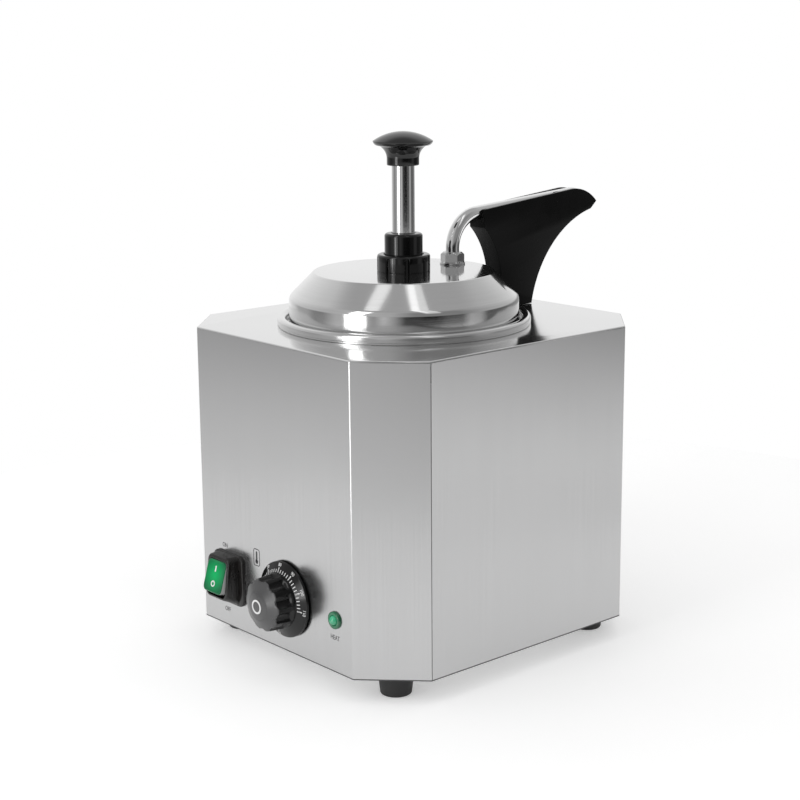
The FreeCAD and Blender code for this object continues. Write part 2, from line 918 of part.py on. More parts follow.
def make_base_screws():
    """Four screws through the base plate into the brackets."""
    pattern = screw_pattern("base_screws", s.base_screw_radius, s.base_screw_length,
                            s.base_screw_head_radius, s.base_screw_head_height)
    places = [(x, y + body_y, base_bottom) for x, y in screw_spots()]
    copies("base_screws", pattern, places)


def make_seam_strips():
    """Two bent strips that back the seams between the front sheet and the side panels."""
    pattern = template("seam_strips")
    inset = s.panel_sheet + s.fit_gap
    outer = case_corners(inset)[0]
    inner = case_corners(inset + s.strip_sheet)[0]
    lean = s.strip_arm * math.sqrt(0.5)
    points = [(outer[0], outer[1] + s.strip_arm), (inner[0], outer[1] + s.strip_arm), inner,
              (inner[0] - lean, inner[1] - lean), (outer[0] - lean, outer[1] - lean), outer]
    low = base_top + s.fit_gap
    high = panel_top - s.deck_flange - s.fit_gap
    pad(pattern, outline(new_sketch(pattern, "XY_Plane"), points), high - low)
    mirror = template("seam_strips_left")
    flipped = [(-x, y) for x, y in points]
    pad(mirror, outline(new_sketch(mirror, "XY_Plane"), flipped[::-1]), high - low)
    group = doc.addObject("Part::Compound", "seam_strips")
    for item in (pattern, mirror):
        place(item, y=body_y, z=low)
    group.Links = [pattern, mirror]
    node(group, "seam_strips")


def make_feet():
    """Four tapered rubber feet with sunk screws and nuts."""
    height = base_bottom
    for name, (x, y) in foot_spots().items():
        bore = s.foot_screw_radius + s.hole_gap
        edge = s.foot_edge_round
        points = [(s.foot_well_radius, ZERO), (s.foot_bottom_radius - edge, ZERO, QUARTER_BULGE),
                  (s.foot_bottom_radius, edge), (s.foot_top_radius, height), (bore, height),
                  (bore, s.foot_well_depth), (s.foot_well_radius, s.foot_well_depth)]
        turned(f"foot_{name}", points, x=x, y=y + body_y)
    length = height - s.foot_well_depth + s.base_sheet + s.foot_nut_height
    pattern = screw_pattern("foot_screws", s.foot_screw_radius, length,
                            s.foot_screw_head_radius, s.foot_screw_head_height)
    places = [(x, y + body_y, s.foot_well_depth) for x, y in foot_spots().values()]
    copies("foot_screws", pattern, places)
    nuts = nut_pattern("foot_nuts", s.foot_nut_width, s.foot_nut_height,
                       s.foot_screw_radius + s.run_gap)
    places = [(x, y + body_y, base_top) for x, y in foot_spots().values()]
    copies("foot_nuts", nuts, places)


# The heated well

def make_heating_well():
    """The drawn well with its rolled rim and the ledge that the jar hangs from."""
    sheet = s.well_sheet
    crown = s.rim_width / 2
    middle = rim_outer - crown
    shoulder = s.rim_height - crown
    floor = -well_depth
    corner = s.well_corner
    points = [
        (ZERO, floor), (s.well_radius - corner, floor, QUARTER_BULGE),
        (s.well_radius, floor + corner), (s.well_radius, ledge_top),
        (rim_mouth, ledge_top), (rim_mouth, shoulder, -QUARTER_BULGE),
        (middle, s.rim_height, -QUARTER_BULGE), (rim_outer, shoulder), (rim_outer, ZERO),
        (rim_outer - sheet, ZERO), (rim_outer - sheet, shoulder, QUARTER_BULGE),
        (middle, s.rim_height - sheet, QUARTER_BULGE),
        (rim_mouth + sheet, shoulder), (rim_mouth + sheet, ledge_top - sheet),
        (well_outer, ledge_top - sheet), (well_outer, floor + corner, -QUARTER_BULGE),
        (s.well_radius - corner, floor - sheet), (ZERO, floor - sheet)]
    turned("heating_well", points, y=well_y, z=deck_top)


def band_low():
    """Height of the heater band's lower edge above the well's floor line."""
    return deck_top - well_depth + s.band_lift


def make_band_heater():
    """The heater band round the foot of the well, split and drawn together by ears."""
    body = new_body("band_heater")
    outer = band_inner + s.band_thickness
    ring = new_sketch(body, "XY_Plane")
    circle(ring, ZERO, ZERO, outer)
    circle(ring, ZERO, ZERO, band_inner)
    pad(body, ring, s.band_height)
    split = new_sketch(body, "XY_Plane")
    rectangle(split, ZERO, outer + s.overrun, -s.band_split / 2, s.band_split / 2)
    pocket(body, split, reverse=True)
    ears = new_sketch(body, "XY_Plane", (s.band_height - s.band_ear_height) / 2)
    root = band_inner + s.band_thickness / 2
    for side in (-1, 1):
        near_side = s.band_split / 2 * side
        far_side = (s.band_split / 2 + s.band_ear_thickness) * side
        low, high = (near_side, far_side) if side > 0 else (far_side, near_side)
        rectangle(ears, root, outer + s.band_ear, low, high)
    pad(body, ears, s.band_ear_height)
    hole = circle(new_sketch(body, "XZ_Plane"), outer + s.band_ear / 2, s.band_height / 2,
                  s.clamp_screw_radius + s.hole_gap)
    pocket(body, hole, middle=True)
    place(body, y=well_y, z=band_low())


def make_clamp_screw():
    """The screw and nut that draw the heater band tight."""
    grip = s.band_split + s.band_ear_thickness * 2
    nut = s.clamp_head_height
    reach = s.clamp_head_radius
    points = [(ZERO, -s.clamp_head_height), (reach, -s.clamp_head_height), (reach, ZERO),
              (s.clamp_screw_radius, ZERO), (s.clamp_screw_radius, grip), (reach, grip),
              (reach, grip + nut), (ZERO, grip + nut)]
    x = band_inner + s.band_thickness + s.band_ear / 2
    turned("clamp_screw", points, x=x, y=well_y - grip / 2, z=band_low() + s.band_height / 2,
           turn=face_back)


def make_well_insulation():
    """The glass wool jacket, with a slot for the bulb and the band's ears."""
    body = new_body("well_insulation")
    ring = new_sketch(body, "XY_Plane")
    circle(ring, ZERO, ZERO, jacket_outer)
    circle(ring, ZERO, ZERO, jacket_inner)
    pad(body, ring, well_depth - s.jacket_top_gap)
    slot = new_sketch(body, "XY_Plane")
    rectangle(slot, ZERO, jacket_outer + s.overrun, -s.jacket_slot / 2, s.jacket_slot / 2)
    pocket(body, slot, reverse=True)
    place(body, y=well_y, z=deck_top - well_depth)


def bulb_axis():
    """Distance from the well's axis to the bulb's."""
    return well_outer + s.fit_gap + s.bulb_radius


def bulb_low():
    """Height of the bulb's lower end."""
    return band_low() + s.band_height + s.bulb_band_gap


def make_bulb():
    """The thermostat's sensing bulb, upright against the well."""
    end = s.bulb_chamfer
    length = deck_top - s.bulb_top_gap - bulb_low()
    points = [(ZERO, ZERO), (s.bulb_radius - end, ZERO), (s.bulb_radius, end),
              (s.bulb_radius, length - end), (s.bulb_radius - end, length), (ZERO, length)]
    turned("thermostat_bulb", points, x=bulb_axis(), y=well_y, z=bulb_low())
    pattern = template("bulb_clips")
    half = s.bulb_radius + s.fit_gap
    reach = half + s.clip_sheet
    seat = -s.bulb_radius
    points = [(seat, -reach), (reach, -reach), (reach, reach), (seat, reach), (seat, half),
              (half, half), (half, -half), (seat, -half)]
    pad(pattern, outline(new_sketch(pattern, "XY_Plane"), points), s.clip_width)
    middle = bulb_low() + (length - s.clip_width) / 2
    places = [(bulb_axis(), well_y, middle + (length / 2 - s.clip_inset) * side)
              for side in (-1, 1)]
    copies("bulb_clips", pattern, places)


def make_capillary():
    """The capillary tube from the thermostat's side to the foot of the bulb."""
    start_x = (dial_x + leg(s.thermostat_radius, s.capillary_drop - s.capillary_radius)).value
    level = (control_z - s.capillary_drop).value
    front = (panel_inner_y + s.capillary_back).value
    side_x = (jacket_outer + s.capillary_clear).value
    back = well_y.value
    high = (bulb_low() - s.capillary_rise).value
    inner_x = bulb_axis().value
    corners = [FreeCAD.Vector(start_x, front, level), FreeCAD.Vector(side_x, front, level),
               FreeCAD.Vector(side_x, back, level), FreeCAD.Vector(side_x, back, high),
               FreeCAD.Vector(inner_x, back, high),
               FreeCAD.Vector(inner_x, back, bulb_low().value)]
    bend = s.capillary_bend.value
    edges = []
    here = corners[0]
    for before, corner, after in zip(corners, corners[1:], corners[2:]):
        into = (corner - before).normalize()
        out = (after - corner).normalize()
        first = corner - into * bend
        last = corner + out * bend
        centre = corner - into * bend + out * bend
        middle = centre + (corner - centre).normalize() * bend
        edges.append(Part.LineSegment(here, first).toShape())
        edges.append(Part.Arc(first, middle, last).toShape())
        here = last
    edges.append(Part.LineSegment(here, corners[-1]).toShape())
    path = Part.Wire(edges)
    radius = s.capillary_radius.value
    ring = Part.Wire([Part.makeCircle(radius, corners[0], FreeCAD.Vector(1, 0, 0))])
    item = doc.addObject("Part::Feature", "capillary")
    item.Shape = path.makePipeShell([ring], True, False)
    node(item, "capillary")


# The jar

def make_jar():
    """The lift-out jar that hangs from its flange on the well's ledge."""
    sheet = s.jar_sheet
    floor = jar_floor
    flange = rim_mouth - s.jar_flange_gap
    outer = jar_radius + sheet
    corner = s.jar_corner
    points = [
        (ZERO, floor), (jar_radius - corner, floor, QUARTER_BULGE),
        (jar_radius, floor + corner), (jar_radius, lid_foot), (flange, lid_foot),
        (flange, ledge_top), (outer, ledge_top),
        (outer, floor + corner, -QUARTER_BULGE), (jar_radius - corner, floor - sheet),
        (ZERO, floor - sheet)]
    turned("jar", points, y=well_y, z=deck_top)


# Thermostat, dial, switch and pilot light

def make_thermostat():
    """The thermostat behind the panel, with its screws."""
    body = new_body("thermostat_body")
    plate = new_sketch(body, "XY_Plane")
    box_about(plate, ZERO, ZERO, s.thermostat_plate_width, s.thermostat_plate_height)
    pad(body, plate, s.thermostat_plate, reverse=True)
    drum = circle(new_sketch(body, "XY_Plane"), ZERO, ZERO, s.thermostat_radius)
    pad(body, drum, s.thermostat_depth, reverse=True)
    bore = circle(new_sketch(body, "XY_Plane"), ZERO, ZERO, s.shaft_radius + s.run_gap)
    pocket(body, bore, s.shaft_inner_reach + s.run_gap)
    holes = new_sketch(body, "XY_Plane")
    for side in (-1, 1):
        circle(holes, s.thermostat_screw_spread / 2 * side, ZERO,
               s.thermostat_screw_radius + s.run_gap)
    pocket(body, holes, s.thermostat_screw_length)
    place(body, dial_x, panel_inner_y, control_z, face_front)
    pattern = screw_pattern("thermostat_screws", s.thermostat_screw_radius,
                            s.thermostat_screw_length, s.thermostat_head_radius,
                            s.thermostat_head_height)
    places = [(dial_x + s.thermostat_screw_spread / 2 * side, front_y, control_z, face_back)
              for side in (-1, 1)]
    copies("thermostat_screws", pattern, places)


def make_shaft():
    """The thermostat's shaft, which turns with the dial."""
    length = s.shaft_inner_reach + s.shaft_outer_reach
    points = [(ZERO, ZERO), (s.shaft_radius, ZERO), (s.shaft_radius, length), (ZERO, length)]
    turned("thermostat_shaft", points, x=dial_x, y=panel_inner_y + s.shaft_inner_reach,
           z=control_z, turn=face_front)


def make_dial():
    """The dial: a bevelled skirt with a fluted grip and a plain cap."""
    body = new_body("dial_knob")
    edge = s.dial_stand + s.dial_edge
    foot = edge + s.dial_cone
    tip = foot + s.grip_length
    crown = tip + s.grip_crown
    hollow = s.dial_stand + s.dial_hollow_depth
    bore = s.shaft_radius + s.run_gap
    bore_end = s.shaft_outer_reach - s.panel_sheet + s.fit_gap
    rim = s.grip_edge_round
    seat = crown - s.dial_cap_seat
    points = [
        (bore, hollow), (s.dial_hollow_radius, hollow), (s.dial_hollow_radius, s.dial_stand),
        (s.dial_radius, s.dial_stand), (s.dial_radius, edge), (s.grip_base_radius, foot),
        (s.grip_tip_radius, tip - rim, QUARTER_BULGE), (s.grip_tip_radius - rim, tip),
        (s.dial_cap_radius + s.fit_gap, crown), (s.dial_cap_radius + s.fit_gap, seat),
        (ZERO, seat), (ZERO, bore_end), (bore, bore_end)]
    revolve(body, outline(new_sketch(body), points))
    flute = circle(new_sketch(body, "XY_Plane", foot + s.flute_lift), ZERO,
                   s.grip_base_radius - s.flute_depth + s.flute_radius, s.flute_radius)
    cut = pocket(body, flute, s.grip_length + s.grip_crown, reverse=True)
    around(body, cut, FLUTE_COUNT)
    place(body, dial_x, front_y, control_z, face_front)
    top = crown + s.dial_cap_proud
    radius = s.dial_cap_radius
    points = [(ZERO, seat), (radius, seat), (radius, top - s.dial_cap_proud, CAP_BULGE),
              (radius - s.dial_cap_proud, top), (ZERO, top)]
    turned("dial_cap", points, x=dial_x, y=front_y, z=control_z, turn=face_front)


def make_switch():
    """The switch's housing: a flange, a hood that leans out downwards, and the rear body."""
    body = new_body("switch_housing")
    front = new_sketch(body, "XY_Plane")
    box_about(front, ZERO, ZERO, s.switch_flange_width, s.switch_flange_length)
    pad(body, front, s.switch_flange)
    chamfer(body, s.switch_corner, upright)
    hood = new_sketch(body, "YZ_Plane")
    outline(hood, [(-s.switch_hood_foot, ZERO), (s.switch_hood_top, ZERO),
                   (s.switch_hood_top, s.switch_hood_top_reach),
                   (-s.switch_hood_low, s.switch_hood_low_reach)])
    pad(body, hood, s.switch_hood_width, middle=True)
    rear = new_sketch(body, "XY_Plane")
    box_about(rear, ZERO, ZERO, s.switch_body_width, s.switch_body_length)
    pad(body, rear, s.switch_body_depth, reverse=True)
    window = new_sketch(body, "XY_Plane", s.switch_hood_low_reach + s.overrun)
    half = s.switch_window_width / 2
    rectangle(window, -half, half, -s.switch_window_low, s.switch_window_top)
    pocket(body, window, s.switch_hood_low_reach + s.overrun + s.switch_window_depth)
    pin = circle(new_sketch(body, "YZ_Plane"), s.rocker_pivot_height, s.rocker_pivot_reach,
                 s.rocker_pin_radius + s.run_gap)
    pocket(body, pin, s.rocker_pin_length + s.run_gap * 2, middle=True)
    place(body, switch_x, front_y, switch_z, face_front)
    make_switch_tabs()


def make_switch_tabs():
    """The blade terminals at the back of the switch."""
    pattern = template("switch_tabs")
    tab = new_sketch(pattern, "XY_Plane")
    box_about(tab, ZERO, ZERO, s.terminal_tab_width, s.terminal_tab_sheet)
    pad(pattern, tab, s.terminal_tab_length)
    rows = [number - (TERMINAL_COUNT - 1) / 2 for number in range(TERMINAL_COUNT)]
    places = [(switch_x, front_y + s.switch_body_depth,
               switch_z + s.terminal_tab_pitch * row, face_back) for row in rows]
    copies("switch_tabs", pattern, places)


def make_rocker():
    """The rocker, at rest with its upper half pressed, and the pin that it tilts on."""
    pivot_y = front_y - s.rocker_pivot_reach
    pivot_z = switch_z + s.rocker_pivot_height
    length = s.rocker_pin_length
    points = [(ZERO, ZERO), (s.rocker_pin_radius, ZERO), (s.rocker_pin_radius, length),
              (ZERO, length)]
    turned("rocker_pin", points, x=switch_x - length / 2, y=pivot_y, z=pivot_z,
           turn=(FreeCAD.Vector(0, 1, 0), 90))
    rocker = new_body("rocker")
    half = s.rocker_length / 2
    face = s.rocker_face
    heel = s.rocker_heel_length / 2
    side = new_sketch(rocker, "YZ_Plane")
    outline(side, [(-heel, -s.rocker_heel), (heel, -s.rocker_heel), (half, s.rocker_shoulder),
                   (half, face), (ZERO, face - s.rocker_dish), (-half, face),
                   (-half, s.rocker_shoulder)])
    circle(side, ZERO, ZERO, s.rocker_pin_radius + s.fit_gap)
    pad(rocker, side, s.rocker_width, middle=True)

    def lip(edge):
        middle = edge_middle(edge)
        return near(middle.z, face.value) and near(abs(middle.y), half.value)
    fillet(rocker, s.rocker_round, lip)
    place(rocker, switch_x, pivot_y, pivot_z, (FreeCAD.Vector(1, 0, 0), 90))
    bind(rocker, "Placement.Rotation.Angle", RIGHT_ANGLE - s.rocker_tilt)


def make_pilot():
    """The pilot light: bezel, lens and the nut behind the panel."""
    bore = s.pilot_barrel_radius - s.pilot_wall
    flange = s.pilot_flange
    lip = bore + s.pilot_wall
    points = [(ZERO, -s.pilot_barrel_length), (s.pilot_barrel_radius, -s.pilot_barrel_length),
              (s.pilot_barrel_radius, ZERO), (s.pilot_radius, ZERO),
              (s.pilot_radius, flange / 2, QUARTER_BULGE), (lip + flange / 2, flange),
              (bore, flange), (bore, flange - s.pilot_lens_seat),
              (ZERO, flange - s.pilot_lens_seat)]
    turned("pilot_bezel", points, x=pilot_x, y=front_y, z=pilot_z, turn=face_front)
    lens = bore - s.run_gap
    seat = flange - s.pilot_lens_seat
    points = [(ZERO, seat), (lens, seat), (lens, flange, dome(lens, s.pilot_dome)),
              (ZERO, flange + s.pilot_dome)]
    turned("pilot_lens", points, x=pilot_x, y=front_y, z=pilot_z, turn=face_front)
    inner = s.pilot_barrel_radius + s.run_gap
    points = [(inner, -s.pilot_nut_height), (s.pilot_nut_radius, -s.pilot_nut_height),
              (s.pilot_nut_radius, ZERO), (inner, ZERO)]
    turned("pilot_nut", points, x=pilot_x, y=panel_inner_y, z=pilot_z, turn=face_front)


# Wiring block, earth stud and cord gland

def make_wiring():
    """The terminal block with its screws, the earth stud, and the gland in the back panel."""
    block_x = s.block_inset - s.body_width / 2
    block_y = back_y - s.block_back
    body = new_body("terminal_block")
    plan = new_sketch(body, "XY_Plane")
    box_about(plan, ZERO, ZERO, s.block_width, s.block_depth)
    pad(body, plan, s.block_height)
    wells = new_sketch(body, "XY_Plane", s.block_height)
    pitch = s.block_width / BLOCK_SCREWS
    rows = [number - (BLOCK_SCREWS - 1) / 2 for number in range(BLOCK_SCREWS)]
    for row in rows:
        circle(wells, pitch * row, ZERO, s.block_screw_radius + s.run_gap)
    pocket(body, wells, s.block_screw_length + s.overrun)
    place(body, block_x, block_y, base_top)
    pattern = screw_pattern("block_screws", s.block_screw_radius, s.block_screw_length,
                            s.block_screw_head_radius, s.block_screw_head_height)
    over = (FreeCAD.Vector(1, 0, 0), 180)
    places = [(block_x + pitch * row, block_y, base_top + s.block_height, over)
              for row in rows]
    copies("block_screws", pattern, places)

    stud = screw_outline(s.stud_radius, s.stud_length, s.stud_head_radius, s.stud_head_height)
    turned("earth_stud", stud, x=s.stud_side, y=block_y, z=base_bottom)
    nut = new_body("earth_nut")
    plan = hexagon(new_sketch(nut, "XY_Plane"), s.stud_nut_width)
    circle(plan, ZERO, ZERO, s.stud_radius + s.run_gap)
    pad(nut, plan, s.stud_nut_height)
    place(nut, s.stud_side, block_y, base_top)

    gland_x = s.body_width / 2 - s.gland_inset
    gland_z = s.shell_lift + s.gland_height
    flange = s.gland_flange
    low = flange - s.gland_length
    bore = s.gland_bore_radius
    points = [(bore, low), (s.gland_radius, low), (s.gland_radius, ZERO),
              (s.gland_flange_radius, ZERO), (s.gland_flange_radius, flange / 2, QUARTER_BULGE),
              (s.gland_flange_radius - flange / 2, flange), (bore, flange)]
    turned("cord_gland", points, x=gland_x, y=back_y, z=gland_z, turn=face_back)
    nut = new_body("gland_nut")
    plan = hexagon(new_sketch(nut, "XY_Plane"), s.gland_nut_width)
    circle(plan, ZERO, ZERO, s.gland_radius + s.run_gap)
    pad(nut, plan, s.gland_nut_height, reverse=True)
    place(nut, gland_x, back_y - s.panel_sheet, gland_z, face_back)


# Lid and pump

def make_lid():
    """The spun lid: an upright band, a sloping shoulder and a flat top with two holes."""
    body = new_body("lid")
    sheet = s.lid_sheet
    slope_inset = sheet * BEND_SHARE
    points = [
        (lid_radius - sheet, lid_foot), (lid_radius, lid_foot), (lid_radius, lid_band_top),
        (lid_top_radius, lid_top), (s.cylinder_radius + s.fit_gap, lid_top),
        (s.cylinder_radius + s.fit_gap, lid_top - sheet),
        (lid_top_radius - slope_inset, lid_top - sheet),
        (lid_radius - sheet, lid_band_top - slope_inset)]
    revolve(body, outline(new_sketch(body), points))
    fillet(body, s.lid_shoulder_round, round_at(lid_band_top, lid_radius))
    fillet(body, s.lid_shoulder_round - sheet,
           round_at(lid_band_top - slope_inset, lid_radius - sheet))
    fillet(body, s.lid_edge_round, round_at(lid_top, lid_top_radius))
    fillet(body, s.lid_edge_round - sheet,
           round_at(lid_top - sheet, lid_top_radius - slope_inset))
    hole = circle(new_sketch(body, "XY_Plane"), ZERO, tube_y, s.tube_radius + s.fit_gap)
    pocket(body, hole, reverse=True)
    place(body, y=well_y, z=deck_top)


def make_pump_cylinder():
    """The pump's cylinder, held by its flange under the lid."""
    bore = s.cylinder_radius - s.cylinder_wall
    under = lid_top - s.lid_sheet
    high = lid_top + s.cylinder_thread
    low = cylinder_low()
    points = [(bore, low), (s.cylinder_radius, low), (s.cylinder_radius, under - s.cylinder_flange),
              (s.cylinder_flange_radius, under - s.cylinder_flange),
              (s.cylinder_flange_radius, under), (s.cylinder_radius, under),
              (s.cylinder_radius, high), (bore, high)]
    turned("pump_cylinder", points, y=well_y, z=deck_top)


def make_lock_collar():
    """The ribbed collar that clamps the cylinder to the lid."""
    body = new_body("lock_collar")
    bore = s.cylinder_radius + s.run_gap
    high = s.collar_height
    neck = high - s.collar_round
    throat = s.guide_radius + s.fit_gap
    lip = s.cylinder_thread + s.guide_flange
    points = [(bore, ZERO), (s.collar_radius, ZERO), (s.collar_radius, neck, QUARTER_BULGE),
              (s.collar_radius - s.collar_round, high), (throat, high), (throat, lip), (bore, lip)]
    revolve(body, outline(new_sketch(body), points))
    slot = new_sketch(body, "XY_Plane")
    rectangle(slot, -s.collar_groove_width / 2, s.collar_groove_width / 2,
              s.collar_radius - s.collar_groove_depth, s.collar_radius + s.overrun)
    cut = pocket(body, slot, neck, reverse=True)
    around(body, cut, GROOVE_COUNT)
    place(body, y=well_y, z=deck_top + lid_top)


def make_guide_cap():
    """The stem's guide, on top of the collar with a spigot in the cylinder."""
    bore = s.stem_radius + s.run_gap
    low = s.cylinder_thread
    flange = low + s.guide_flange
    high = s.collar_height + s.guide_height
    spigot = s.cylinder_radius - s.cylinder_wall - s.run_gap
    points = [(bore, low - s.guide_spigot), (spigot, low - s.guide_spigot), (spigot, low),
              (s.guide_flange_radius, low), (s.guide_flange_radius, flange),
              (s.guide_radius, flange), (s.guide_radius, high - s.guide_chamfer, QUARTER_BULGE),
              (s.guide_radius - s.guide_chamfer, high), (bore, high)]
    turned("guide_cap", points, y=well_y, z=deck_top + lid_top)


def cylinder_low():
    """Height of the cylinder's lower end above the deck."""
    return valve_low() + s.valve_height - s.valve_sleeve


def valve_low():
    """Height of the valve body's underside above the deck."""
    return jar_floor + s.valve_floor_gap


def tube_foot():
    """How far from the pump's axis the discharge tube starts."""
    return s.valve_radius - s.tube_radius / 2


def make_valve():
    """The valve body at the foot of the pump, with its ball and cage."""
    body = new_body("valve_body")
    sleeve = s.cylinder_radius + s.run_gap
    seat = cylinder_low() - valve_low()
    points = [(s.valve_throat_radius, ZERO), (s.valve_radius, ZERO),
              (s.valve_radius, s.valve_height), (sleeve, s.valve_height), (sleeve, seat),
              (s.ball_chamber_radius, seat), (s.ball_chamber_radius, s.ball_seat_lift),
              (s.valve_throat_radius, s.ball_seat_lift)]
    revolve(body, outline(new_sketch(body), points))
    level = seat - s.port_drop
    port = circle(new_sketch(body), ZERO, level, s.tube_radius - s.tube_wall)
    pocket(body, port, s.valve_radius + s.overrun)
    socket = circle(new_sketch(body, "XZ_Plane", s.run_gap - tube_foot()), ZERO, level,
                    s.tube_radius + s.run_gap)
    pocket(body, socket, s.tube_radius + s.overrun)
    place(body, y=well_y, z=deck_top + valve_low())
    rest = s.ball_seat_lift + leg(s.ball_radius, s.valve_throat_radius)
    ball = node(doc.addObject("Part::Sphere", "check_ball"), "check_ball")
    bind(ball, "Radius", s.ball_radius)
    place(ball, y=well_y, z=deck_top + valve_low() + rest + s.run_gap)
    cage = new_body("ball_cage")
    low = seat
    ring = s.cage_wire
    points = [(s.ball_chamber_radius - s.cage_rim, low),
              (s.cylinder_radius - s.cylinder_wall - s.fit_gap, low),
              (s.cylinder_radius - s.cylinder_wall - s.fit_gap, low + ring),
              (s.ball_chamber_radius - s.cage_rim, low + ring)]
    revolve(cage, outline(new_sketch(cage), points))
    bar = new_sketch(cage, "XY_Plane", low)
    box_about(bar, ZERO, ZERO, s.ball_chamber_radius * 2, s.cage_rim)
    pad(cage, bar, ring)
    place(cage, y=well_y, z=deck_top + valve_low())


def slope_point(start, distance, angle):
    """A point some distance along a slope from a start."""
    return (start[0] + distance * cosine(angle), start[1] + distance * sine(angle))


def tube_corners():
    """Named points of the discharge tube's centre line, from the lid's axis and the deck."""
    level = cylinder_low() - s.port_drop
    foot = (tube_foot(), level)
    elbow_start = (tube_y - s.tube_elbow, level)
    elbow_end = (tube_y, level + s.tube_elbow)
    bend_start = (tube_y, s.tube_bend_lift)
    slope = s.tube_slope
    bend_end = (tube_y + s.tube_bend - s.tube_bend * sine(slope),
                s.tube_bend_lift + s.tube_bend * cosine(slope))
    run = (rim_outer + s.tube_reach - bend_end[0]) / cosine(slope)
    run_end = slope_point(bend_end, run, slope)
    turn = s.tube_tip_turn
    fall = turn - slope
    centre = (run_end[0] + s.tube_tip_bend * sine(slope),
              run_end[1] - s.tube_tip_bend * cosine(slope))
    tip = (centre[0] + s.tube_tip_bend * sine(fall), centre[1] + s.tube_tip_bend * cosine(fall))
    return foot, elbow_start, elbow_end, bend_start, bend_end, run_end, tip


def make_discharge_tube():
    """The tube from the valve up through the lid, back along the guard and down at its nose."""
    body = new_body("discharge_tube")
    corners = tube_corners()
    foot = corners[0]
    path = new_sketch(body, "YZ_Plane")
    spots = [FreeCAD.Vector(y.value, z.value, 0) for y, z in corners]
    bends = {1: math.tan(math.radians(90) / 4),
             3: -math.tan(math.radians(90 - s.tube_slope.value) / 4),
             5: -math.tan(math.radians(s.tube_tip_turn.value) / 4)}
    radii = {1: s.tube_elbow, 3: s.tube_bend, 5: s.tube_tip_bend}
    ends = []
    for number in range(len(spots) - 1):
        first, last = spots[number], spots[number + 1]
        bulge = bends.get(number, 0)
        if bulge == 0:
            path.addGeometry(Part.LineSegment(first, last), False)
            ends.append((1, 2))
        elif bulge > 0:
            path.addGeometry(arc_between(first, last, bulge), False)
            ends.append((1, 2))
        else:
            path.addGeometry(arc_between(last, first, -bulge), False)
            ends.append((2, 1))
    for number, (y, z) in enumerate(corners[:-1]):
        if number:
            path.addConstraint(Sketcher.Constraint("Coincident", number - 1, ends[number - 1][1],
                                                   number, ends[number][0]))
        fix_point(path, number, ends[number][0], y, z)
    fix_point(path, len(ends) - 1, ends[-1][1], *corners[-1])
    for number, radius in radii.items():
        fix_radius(path, number, radius)
    ring = new_sketch(body, "XZ_Plane", -foot[0])
    circle(ring, ZERO, foot[1], s.tube_radius)
    circle(ring, ZERO, foot[1], s.tube_radius - s.tube_wall)
    pipe = body.newObject("PartDesign::AdditivePipe", "discharge_tube_pipe")
    pipe.Profile = ring
    pipe.Spine = (path, [f"Edge{number + 1}" for number in range(len(ends))])
    pipe.Mode = "Standard"
    pipe.Transition = "Transformed"
    doc.recompute()
    place(body, y=well_y, z=deck_top)


def make_spout_nuts():
    """The nuts that clamp the tube to the lid from above and below."""
    bore = s.tube_radius + s.run_gap
    nut = new_body("spout_nut")
    base = new_sketch(nut, "XY_Plane")
    circle(base, ZERO, ZERO, s.spout_flange_radius)
    circle(base, ZERO, ZERO, bore)
    pad(nut, base, s.spout_flange)
    flats = hexagon(new_sketch(nut, "XY_Plane", s.spout_flange), s.spout_nut_width)
    circle(flats, ZERO, ZERO, bore)
    pad(nut, flats, s.spout_nut_height)
    place(nut, y=well_y + tube_y, z=deck_top + lid_top)
    under = new_body("spout_lock_nut")
    plan = hexagon(new_sketch(under, "XY_Plane"), s.lock_nut_width)
    circle(plan, ZERO, ZERO, bore)
    pad(under, plan, s.lock_nut_height, reverse=True)
    place(under, y=well_y + tube_y, z=deck_top + lid_top - s.lid_sheet)


def guard_edge(y):
    """Height of the guard's straight top edge at a place behind the lid's axis."""
    slope = s.guard_slope
    return s.guard_top + (y - guard_front) * sine(slope) / cosine(slope)


